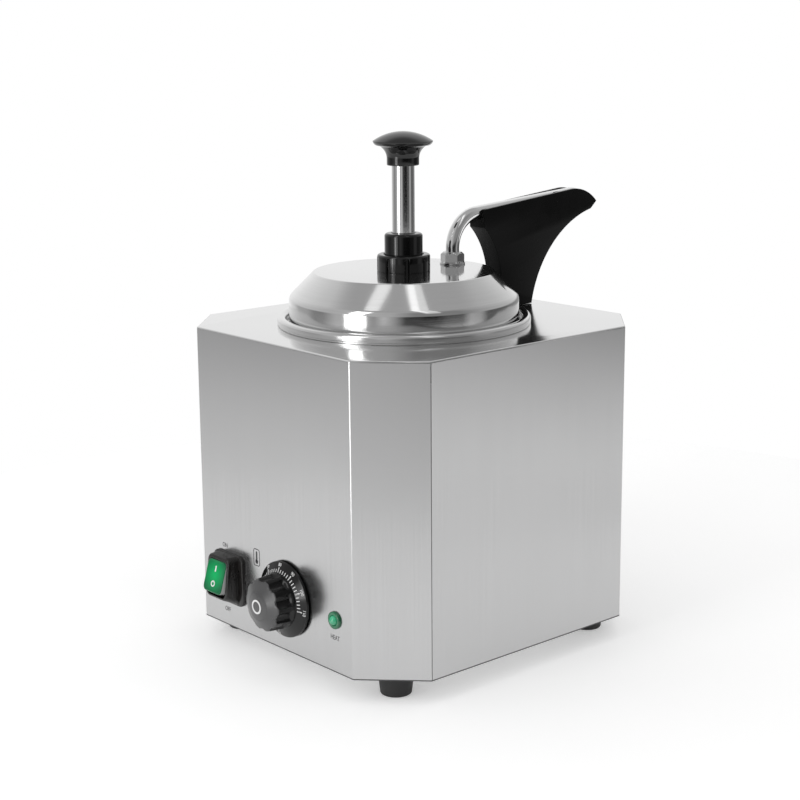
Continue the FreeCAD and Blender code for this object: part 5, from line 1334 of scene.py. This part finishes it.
@dataclass
class Switch:
    """The rocker switch: flange, hood, green rocker and its marks."""

    flange_width: float = 32.5
    flange_length: float = 34.5
    corner: float = 5.0
    rocker_width: float = 19.6
    rocker_length: float = 21.4
    rocker_shift: float = -0.5
    rocker_face: float = 11.7
    rocker_lip: float = 0.9
    rocker_corner: float = 3.0
    bar: tuple[float, float, float] = (0.6, 2.6, 6.6)
    circle: tuple[float, float, float] = (2.1, 1.2, -5.4)
    rib_half: float = 9.0
    rib_step: float = 2.1
    tilt: float = 16.0
    dish: float = 0.5
    flange_rise: float = 2.2
    body_half: float = 11.3
    body_tall: float = 15.0
    body_depth: float = 24.0
    hood_half: float = 11.75
    hood_foot: float = -16.5
    hood_low: float = -11.3
    hood_top: float = 16.95
    low_reach: float = 12.7
    top_reach: float = 9.3
    window_half: float = 10.1
    window_low: float = -10.2
    window_top: float = 14.3
    window_corner: float = 3.2
    cavity: float = 22.0
    hood_levels: tuple[Corner, ...] = (
        (0.0, 0.0, 2.5), (0.25, 0.0, 3.0), (0.5, 0.0, 3.6), (0.75, 0.0, 4.1), (0.92, 0.0, 4.4),
        (0.96, 0.1, 4.4), (0.985, 0.3, 4.2), (1.0, 0.65, 3.9))

    def front_reach(self, y: float) -> float:
        """Height of the hood's sloping front over the panel."""
        share = (y - self.hood_low) / (self.hood_top - self.hood_low)
        return self.low_reach + (self.top_reach - self.low_reach) * share

    def hood_draft(self) -> Draft:
        """Draft the body, the flange and the hood with its window as one closed skin."""
        body = oblong(self.body_half, -self.body_tall, self.body_tall, 1.0, 8)
        flange = oblong(self.flange_width / 2, -self.flange_length / 2, self.flange_length / 2,
                        self.corner, 8)
        window = oblong(self.window_half, self.window_low, self.window_top, self.window_corner, 8)
        rows = [[Vector((x, y, height)) for x, y in body] for height in (-self.body_depth, 0.0)]
        for inset, height in ((0.3, 0.0), (0.0, 0.3), (0.0, 1.4), (0.25, 1.95), (0.8, self.flange_rise)):
            rows.append([Vector((x, y, height)) for x, y in shrunk(flange, inset)])
        for share, inset, corner in self.hood_levels:
            low = self.hood_foot + (self.hood_low - self.hood_foot) * share + inset
            plan = oblong(self.hood_half - inset, low, self.hood_top - inset, corner, 8)
            rows.append([Vector((x, y, max(self.flange_rise, share * self.front_reach(y))))
                         for x, y in plan])
        rows.append([Vector((x, y, self.front_reach(y))) for x, y in window])
        rows.append([Vector((x, y, -self.cavity)) for x, y in window])
        draft = Draft()
        draft.add_grid(rows, False, True)
        draft.add_face(rows[0][::-1])
        draft.add_face(rows[-1])
        return draft

    def place(self) -> Matrix:
        """Where the rocker's pivot is, tilted as at rest."""
        pin = middle_of("rocker_pin")
        return (Matrix.Translation((pin.x, pin.y, pin.z))
                @ Matrix.Rotation(math.radians(90 - self.tilt), 4, "X"))

    def rocker_painted_glow(self) -> LampAndPaintedGlow:
        """The rocker's green with painted glow: bright about a spot near its middle, fading to painted
        shade at its edges.
        """
        low, high = box_of("rocker")
        middle = (low + high) / 2
        centre = (middle.x * MM, low.y * MM, (middle.z + 2.5) * MM)
        # Painted light: the rocker glows though it holds no lamp.
        return LampAndPaintedGlow("green_rocker", (0.004, 0.12, 0.045), (0.005, 0.43, 0.12), 0.15, 0.12, centre,
                    0.012, 0.25)

    def ring_of(self, inset: float, short: float, height: float) -> list[Vector]:
        """Points of one level of the rocker."""
        half = self.rocker_width / 2
        tall = self.rocker_length / 2
        return [Vector((x * (half - inset) / half, y * (tall - short) / tall + self.rocker_shift,
                        height)) for x, y in oblong(half, -tall, tall, self.rocker_corner, 8)]

    def rocker_block(self) -> Draft:
        """Draft the narrowing block under the rocker's green face."""
        levels = ((0.0, 5.4, -3.5), (0.0, 0.0, 4.5), (0.0, 0.0, self.rocker_face - self.rocker_lip))
        rows = [self.ring_of(*level) for level in levels]
        draft = Draft()
        draft.add_grid(rows, False, True)
        draft.add_face(rows[0][::-1])
        draft.add_face(rows[-1])
        return draft

    def rocker_draft(self) -> Draft:
        """Draft the rocker's dished face with its rolled edges."""
        face = self.rocker_face
        levels = ((0.0, 0.0, face - self.rocker_lip), (0.0, 0.0, face - 0.7), (0.12, 0.12, face - 0.4),
                  (0.4, 0.4, face - 0.12), (1.0, 1.0, face))
        rows = [self.ring_of(*level) for level in levels]
        outer = rows[-1]
        for share in (0.9, 0.7, 0.5, 0.3, 0.1):
            row = []
            for corner in outer:
                along = (corner.y - self.rocker_shift) * share
                dip = self.dish * (1 - (2 * along / self.rocker_length) ** 2) * min(1.0, (1 - share) * 4)
                row.append(Vector((corner.x * share, along + self.rocker_shift, face - dip)))
            rows.append(row)
        draft = Draft()
        draft.add_grid(rows, False, True)
        draft.add_face(rows[0][::-1])
        draft.add_face(rows[-1])
        return draft

    def build(self, repeat: RepeatTree) -> None:
        """Make the switch.

        Args:
            repeat: The tree that repeats the hood's ribs.
        """
        front = front_place("switch_housing")
        dress(make("switch_frame", self.hood_draft(), front, 34.0), FINISHES.hood, Body.HOUSING,
              "black_satin", "switch_housing")
        place = self.place()
        dress(make("rocker_block", self.rocker_block(), place), FINISHES.skirt, Body.ROCKER,
              "green_rocker")
        rocker = make("green_rocker", self.rocker_draft(), place, 40.0)
        dress(rocker, self.rocker_painted_glow(), Body.ROCKER, "green_rocker", "rocker")
        face = self.rocker_face - self.dish * 0.8
        half, low, top = self.bar
        outer, inner, height = self.circle
        marks = slab(oblong(half, low, top, 0.3, 4), face - 0.1, face + 0.2)
        marks.add_draft(band(ring_plan(outer, 48), ring_plan(inner, 48), face - 0.1, face + 0.2),
                        Matrix.Translation((0, height, 0)))
        dress(make("rocker_marks", marks, place), FINISHES.white, Body.ROCKER, "green_rocker")
        middle = middle_of("switch_housing")
        rib = slab(oblong(0.35, -self.rib_half, self.rib_half, 0.3, 3), 0.0, 0.35, 0.12)
        side = Matrix.Translation((middle.x + self.hood_half, FRONT_Y - 3.2, middle.z))
        upright = Matrix(((0, 0, 1, 0), (-1, 0, 0, 0), (0, 1, 0, 0), (0, 0, 0, 1)))
        ribs = repeat.run("hood_ribs", rib, side @ upright, FINISHES.hood, 3, 0.0, 0.0,
                          Vector((self.rib_step, 0, 0)))
        dress(ribs, FINISHES.hood, Body.HOUSING, "black_satin")


@dataclass
class Pilot:
    """The pilot light: a green bezel and a domed, lit lens."""

    radius: float = 5.6
    bore: float = 3.1
    flange: float = 1.6
    dome: float = 2.2
    barrel: float = 4.0
    length: float = 17.0
    fit: float = 0.06

    def build(self) -> None:
        """Make the bezel and the lens."""
        middle = middle_of("pilot_bezel")
        place = front_place("pilot_bezel")
        bezel = rounded([(0, -self.length), (self.barrel, -self.length, 0.3), (self.barrel, 0.0),
                         (self.radius, 0.0, 0.2),
                         (self.radius, self.flange, 0.9), (self.bore + 0.3, self.flange, 0.3),
                         (self.bore, self.flange - 3.4), (0, self.flange - 3.4)], 6, False)
        centre = tuple(value * MM for value in (middle.x, FRONT_Y - 1.0, middle.z + 0.5))
        glow = LampAndPaintedGlow("green_bezel", (0.002, 0.08, 0.032), (0.007, 0.26, 0.11), 0.16, 0.07, centre,
                    0.006, 0.8)
        dress(make("lamp_bezel", lathe(bezel, 96), place), glow, Body.HOUSING, "green_bezel",
              "pilot_bezel")
        lens_radius = self.bore - self.fit
        top = self.flange + self.dome
        bulge = dome_bulge(lens_radius, self.dome)
        lens = [(0.0, self.flange - 3.3), (lens_radius, self.flange - 3.3)]
        lens += bowed((lens_radius, self.flange), (0.0, top), bulge, 14) + [(0.0, top)]
        lit = LampAndPaintedGlow("green_lamp", (0.004, 0.14, 0.06), (0.1, 0.72, 0.4), 0.5, 0.04, centre, 0.0036, 1.0)
        dress(make("lamp_lens", lathe(lens, 64), place), lit, Body.HOUSING, "green_lamp", "pilot_lens")


@dataclass
class Feet:
    """Four tapered rubber feet with sunk screws."""

    top: float = 12.0
    bottom: float = 9.9
    round: float = 1.2
    well: float = 5.0
    well_depth: float = 9.0
    bore: float = 2.25

    def build(self) -> None:
        """Make the feet."""
        for end in ("front", "rear"):
            for side in ("left", "right"):
                node = f"foot_{end}_{side}"
                low, high = box_of(node)
                middle = (low + high) / 2
                profile = rounded([(self.well, low.z, 0.5), (self.bottom, low.z, self.round),
                                   (self.top, high.z, 0.5), (self.bore, high.z),
                                   (self.bore, low.z + self.well_depth),
                                   (self.well, low.z + self.well_depth)], 6)
                draft = lathe(profile, 72, True)
                piece = make(f"rubber_foot_{end}_{side}", draft,
                             Matrix.Translation((middle.x, middle.y, 0)))
                dress(piece, FINISHES.rubber, Body.HOUSING, "foot_rubber", node)


@dataclass
class PanelMarks:
    """Printed marks on the control panel: words for the switch and plain signs."""

    ink: float = 0.06
    capital: float = 3.1
    narrow: float = 0.8
    on_x: float = -53.6
    on_z: float = 71.4
    off_x: float = -52.5
    off_z: float = 27.1
    sign_x: float = -18.5
    sign_z: float = 71.2
    heat_x: float = 61.4
    heat_z: float = 38.6

    def sign(self) -> list[Draft]:
        """Draft a thermometer in a rounded frame."""
        outer = oblong(3.4, -5.8, 5.8, 1.8, 5)
        inner = shrunk(outer, 0.55)
        bulb = slab(ring_plan(1.45, 24), -0.02, self.ink)
        stem = slab(rounded([(-0.75, -2.6), (0.75, -2.6), (0.75, 4.1, 0.7), (-0.75, 4.1, 0.7)], 5),
                    -0.02, self.ink)
        moved = Draft()
        moved.add_draft(bulb, Matrix.Translation((0, -2.9, 0)))
        return [band(outer, inner, -0.02, self.ink), moved, stem]

    def build(self) -> None:
        """Print the marks."""
        def at(x: float, z: float) -> Matrix:
            return Matrix.Translation((x, FRONT_Y, z)) @ FRONT_TURN
        thin = Matrix.Scale(self.narrow, 4, (1, 0, 0))
        texts = [(words(text, self.capital, self.ink), at(x, z) @ thin)
                 for text, x, z in (("ON", self.on_x, self.on_z), ("OFF", self.off_x, self.off_z),
                                    ("HEAT", self.heat_x, self.heat_z))]
        dress(joined("panel_words", texts), FINISHES.black_ink, Body.HOUSING, "dial_plate")
        sign = Draft()
        for part in self.sign():
            sign.add_draft(part, Matrix.Identity(4))
        dress(make("heat_sign", sign, at(self.sign_x, self.sign_z)), FINISHES.black_ink,
              Body.HOUSING, "dial_plate")


@dataclass
class Gland:
    """The cord gland in the back panel."""

    radius: float = 9.5
    proud: float = 3.0
    bore: float = 4.0
    barrel: float = 7.0
    length: float = 15.0

    def build(self) -> None:
        """Make the gland."""
        middle = middle_of("cord_gland")
        back = box_of("rear_wrap")[1].y
        place = Matrix.Translation((middle.x, back, middle.z)) @ BACK_TURN
        low = self.proud - self.length
        profile = rounded([(self.bore, low), (self.barrel, low, 0.4), (self.barrel, 0),
                           (self.radius, 0, 0.3), (self.radius, self.proud, 1.4),
                           (self.bore, self.proud, 0.9)], 6)
        dress(make("gland_collar", lathe(profile, 72, True), place), FINISHES.satin, Body.HOUSING,
              "black_satin", "cord_gland")


class Insides:
    """The pieces that keep their own shape: what is inside the case and under the lid."""

    def build(self) -> None:
        """Give each of them its finish."""
        by_finish = {
            FINISHES.steel: ("corner_brackets", "seam_strips", "bulb_clips", "pump_cylinder",
                             "ball_cage", "band_heater"),
            FINISHES.zinc: ("base_screws", "foot_screws", "foot_nuts", "clamp_screw",
                            "thermostat_screws", "rocker_pin", "block_screws", "earth_stud",
                            "earth_nut", "piston_nut", "check_ball", "spout_lock_nut"),
            FINISHES.wool: ("well_insulation",),
            FINISHES.copper: ("thermostat_bulb", "capillary"),
            FINISHES.satin: ("thermostat_body", "gland_nut"),
            FINISHES.nylon: ("pilot_nut", "terminal_block", "valve_body", "piston_cup"),
            FINISHES.brass: ("switch_tabs", "thermostat_shaft")}
        for finish, names in by_finish.items():
            for name in names:
                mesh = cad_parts[name].data
                mesh.materials.clear()
                mesh.materials.append(finish.material())
                log.info("%s: keeps its own shape", name)


@dataclass(frozen=True)
class Softbox:
    """A soft rectangular lamp: its place round the object in degrees and metres, size and watts."""

    name: str
    azimuth: float
    elevation: float
    distance: float
    size: tuple[float, float]
    power: float


@dataclass
class Studio:
    """A pale floor, soft lamps, a plain sky and the camera."""

    azimuth: float = 48.564
    elevation: float = 12.065
    roll: float = -0.378
    distance: float = 1123.5
    target: tuple[float, float, float] = (-0.17, -14.35, 174.1)
    focal: float = 1671.08
    centre_x: float = 412.5
    centre_y: float = 379.8
    floor_radius: float = 560.0
    floor_lift: float = 0.28
    plain_level: float = 0.72
    sensor: float = 36.0
    ceiling: float = 0.44
    near_ground: float = 1.0
    upper_stops: tuple[Point, ...] = (
        (-180, 0.62), (-160, 0.8), (-148, 0.96), (-108, 0.98), (-90, 0.85), (-72, 0.7), (-40, 0.55),
        (0, 0.55), (35, 0.5), (60, 0.26), (110, 0.26), (130, 0.4), (170, 0.56), (180, 0.62))
    lower_stops: tuple[Point, ...] = (
        (-180, 0.24), (-150, 0.36), (-125, 0.95), (-108, 0.95), (-90, 0.75), (-80, 0.48), (-62, 0.42),
        (-50, 0.26), (-38, 0.26), (-22, 0.5), (10, 0.5), (19, 0.32), (29, 0.6), (40, 0.34), (50, 0.04),
        (62, 0.03), (72, 0.01), (82, 0.01), (92, 0.08), (108, 0.1), (118, 0.42), (130, 0.38),
        (140, 0.1), (165, 0.14), (180, 0.24))
    ground_stops: tuple[Point, ...] = (
        (-180, 0.9), (-70, 0.93), (-48, 0.91), (-20, 0.84), (20, 0.76), (60, 0.76), (100, 1.08),
        (140, 1.18), (180, 0.95))
    ceiling_blend: Point = (0.7, 0.88)
    wall_blend: Point = (-0.04, 0.12)
    far_blend: Point = (-0.184, -0.212)
    near_blend: Point = (-0.2, -0.36)
    lamp_aim: float = 0.18
    lamps: tuple[Softbox, ...] = (
        Softbox("key_softbox", 1.0, -4.0, 1.5, (0.6, 0.7), 2.4),
        Softbox("key_core", -1.0, -4.0, 1.46, (0.13, 0.72), 1.4),
        Softbox("tall_softbox", 1.0, 30.0, 1.6, (0.4, 1.1), 3.2),
        Softbox("high_softbox", -15.0, 71.5, 1.5, (0.2, 0.4), 0.17),
        Softbox("edge_strip", 82.0, 60.0, 1.5, (0.28, 1.35), 0.55),
        Softbox("edge_core", 73.0, 60.0, 1.48, (0.12, 1.35), 0.25))

    def direction(self, azimuth: float, elevation: float) -> Vector:
        """Give the way from the object towards an azimuth and elevation in degrees."""
        a = math.radians(azimuth)
        e = math.radians(elevation)
        return Vector((math.sin(a) * math.cos(e), -math.cos(a) * math.cos(e), math.sin(e)))

    def build_camera(self) -> None:
        """Put the camera where the photograph was taken from."""
        data = bpy.data.cameras.new("camera")
        data.sensor_width = self.sensor
        data.lens = self.focal / PHOTO_WIDTH * self.sensor
        data.shift_x = (PHOTO_WIDTH / 2 - self.centre_x) / PHOTO_WIDTH
        data.shift_y = (self.centre_y - PHOTO_WIDTH / 2) / PHOTO_WIDTH
        data.clip_start = 0.01
        data.clip_end = 100
        camera = bpy.data.objects.new("camera", data)
        bpy.context.scene.collection.objects.link(camera)
        back = self.direction(self.azimuth, self.elevation)
        turn = (-back).to_track_quat("-Z", "Y").to_matrix() @ Matrix.Rotation(
            math.radians(self.roll), 3, "Z")
        spot = (Vector(self.target) + back * self.distance) * MM
        camera.matrix_world = Matrix.Translation(spot) @ turn.to_4x4()
        bpy.context.scene.camera = camera

    def build_floor(self) -> None:
        """Make the pale round floor."""
        draft = Draft()
        draft.add_face([Vector((x, y, 0)) for x, y in ring_plan(self.floor_radius, 96)])
        floor = make("floor", draft, Matrix.Identity(4))
        sheet = NodeSheet("floor_paper")
        cloud = sheet.noise(sheet.spot((4, 4, 4)), detail=2.0)
        sheet.put("Base Color",
                  sheet.mixed(sheet.span(cloud, 0.0, 1.0), (0.93, 0.93, 0.93), (0.95, 0.95, 0.95)))
        sheet.put("Roughness", 0.9)
        sheet.put("Specular IOR Level", 0.1)
        path = sheet.add("ShaderNodeLightPath")
        mirrored = sheet.add("ShaderNodeMath", {0: path.outputs["Is Glossy Ray"],
                                                1: path.outputs["Is Transmission Ray"]},
                             operation="MAXIMUM")
        seen = sheet.add("ShaderNodeMath", {0: path.outputs["Is Camera Ray"], 1: mirrored.outputs[0]},
                         operation="MAXIMUM")
        lift = sheet.add("ShaderNodeMath", {0: seen.outputs[0], 1: self.floor_lift},
                         operation="MULTIPLY")
        sheet.put("Emission Color", (1, 1, 1, 1))
        sheet.put("Emission Strength", lift.outputs[0])
        floor.data.materials.append(sheet.material)

    def build_lamp(self, lamp: Softbox) -> None:
        """Add one soft lamp."""
        data = bpy.data.lights.new(lamp.name, "AREA")
        data.shape = "RECTANGLE"
        data.size, data.size_y = lamp.size
        data.energy = lamp.power
        light = bpy.data.objects.new(lamp.name, data)
        bpy.context.scene.collection.objects.link(light)
        way = self.direction(lamp.azimuth, lamp.elevation)
        spot = Vector((0, 0, self.lamp_aim)) + way * lamp.distance
        light.matrix_world = Matrix.Translation(spot) @ way.to_track_quat("Z", "Y").to_matrix().to_4x4()

    def build_sky(self) -> None:
        """Make the sky: white behind, plain on the object, and a quiet studio in reflections."""
        world = bpy.data.worlds.new("studio")
        bpy.context.scene.world = world
        world.use_nodes = True
        tree = world.node_tree
        tree.nodes.clear()

        def add(kind: str, values: dict | None = None, **settings: object) -> bpy.types.Node:
            return add_node(tree, kind, values, **settings)

        way = add("ShaderNodeSeparateXYZ", {0: add("ShaderNodeTexCoord").outputs["Generated"]})
        toward = add("ShaderNodeMath", {0: way.outputs[1], 1: -1.0}, operation="MULTIPLY")
        angle = add("ShaderNodeMath", {0: way.outputs[0], 1: toward.outputs[0]}, operation="ARCTAN2")
        share = add("ShaderNodeMapRange", {0: angle.outputs[0], 1: -math.pi, 2: math.pi, 3: 0.0, 4: 1.0})

        def around(stops: Sequence[Point]) -> bpy.types.NodeSocket:
            levels = add("ShaderNodeValToRGB", {0: share.outputs[0]})
            ramp = levels.color_ramp
            while len(ramp.elements) < len(stops):
                ramp.elements.new(0.5)
            for element, (degrees, level) in zip(ramp.elements, stops):
                element.position = (degrees + 180) / 360
                element.color = (level, level, level, 1)
            return levels.outputs[0]

        def blended(span: Point, first: bpy.types.NodeSocket, second: object) -> bpy.types.NodeSocket:
            start, end = span
            climb = add("ShaderNodeMapRange", {0: way.outputs[2], 1: start, 2: end, 3: 0.0, 4: 1.0},
                        interpolation_type="SMOOTHSTEP")
            return add("ShaderNodeMix", {0: climb.outputs[0], 6: first, 7: second},
                       data_type="RGBA").outputs[2]

        ceiling = blended(self.ceiling_blend, around(self.upper_stops), (self.ceiling,) * 3 + (1,))
        walls = blended(self.wall_blend, around(self.lower_stops), ceiling)
        far = blended(self.far_blend, walls, around(self.ground_stops))
        ground = blended(self.near_blend, far, (self.near_ground,) * 3 + (1,))
        path = add("ShaderNodeLightPath")
        shiny = add("ShaderNodeMath", {0: path.outputs["Is Glossy Ray"],
                                       1: path.outputs["Is Transmission Ray"]}, operation="MAXIMUM")
        seen = add("ShaderNodeMix", {0: shiny.outputs[0]}, data_type="RGBA")
        seen.inputs[6].default_value = (self.plain_level,) * 3 + (1,)
        tree.links.new(ground, seen.inputs[7])
        whole = add("ShaderNodeMix", {0: path.outputs["Is Camera Ray"]}, data_type="RGBA")
        tree.links.new(seen.outputs[2], whole.inputs[6])
        whole.inputs[7].default_value = (1, 1, 1, 1)
        light = add("ShaderNodeBackground", {"Color": whole.outputs[2], "Strength": 1.0})
        result = add("ShaderNodeOutputWorld")
        tree.links.new(light.outputs[0], result.inputs[0])

    def build(self) -> None:
        """Make the studio."""
        self.build_floor()
        self.build_sky()
        for lamp in self.lamps:
            self.build_lamp(lamp)
        self.build_camera()
        bpy.context.scene.view_settings.view_transform = "Standard"


def main() -> None:
    """Build every sub-assembly in order."""
    logging.basicConfig(level=logging.INFO, format="%(message)s")
    repeat = RepeatTree()
    Case().build()
    Well().build()
    Lid().build()
    Pump().build()
    Spout().build()
    Dial().build(repeat)
    Switch().build(repeat)
    Pilot().build()
    Feet().build()
    PanelMarks().build()
    Gland().build()
    Insides().build()
    Studio().build()


if __name__ == "__main__":
    main()
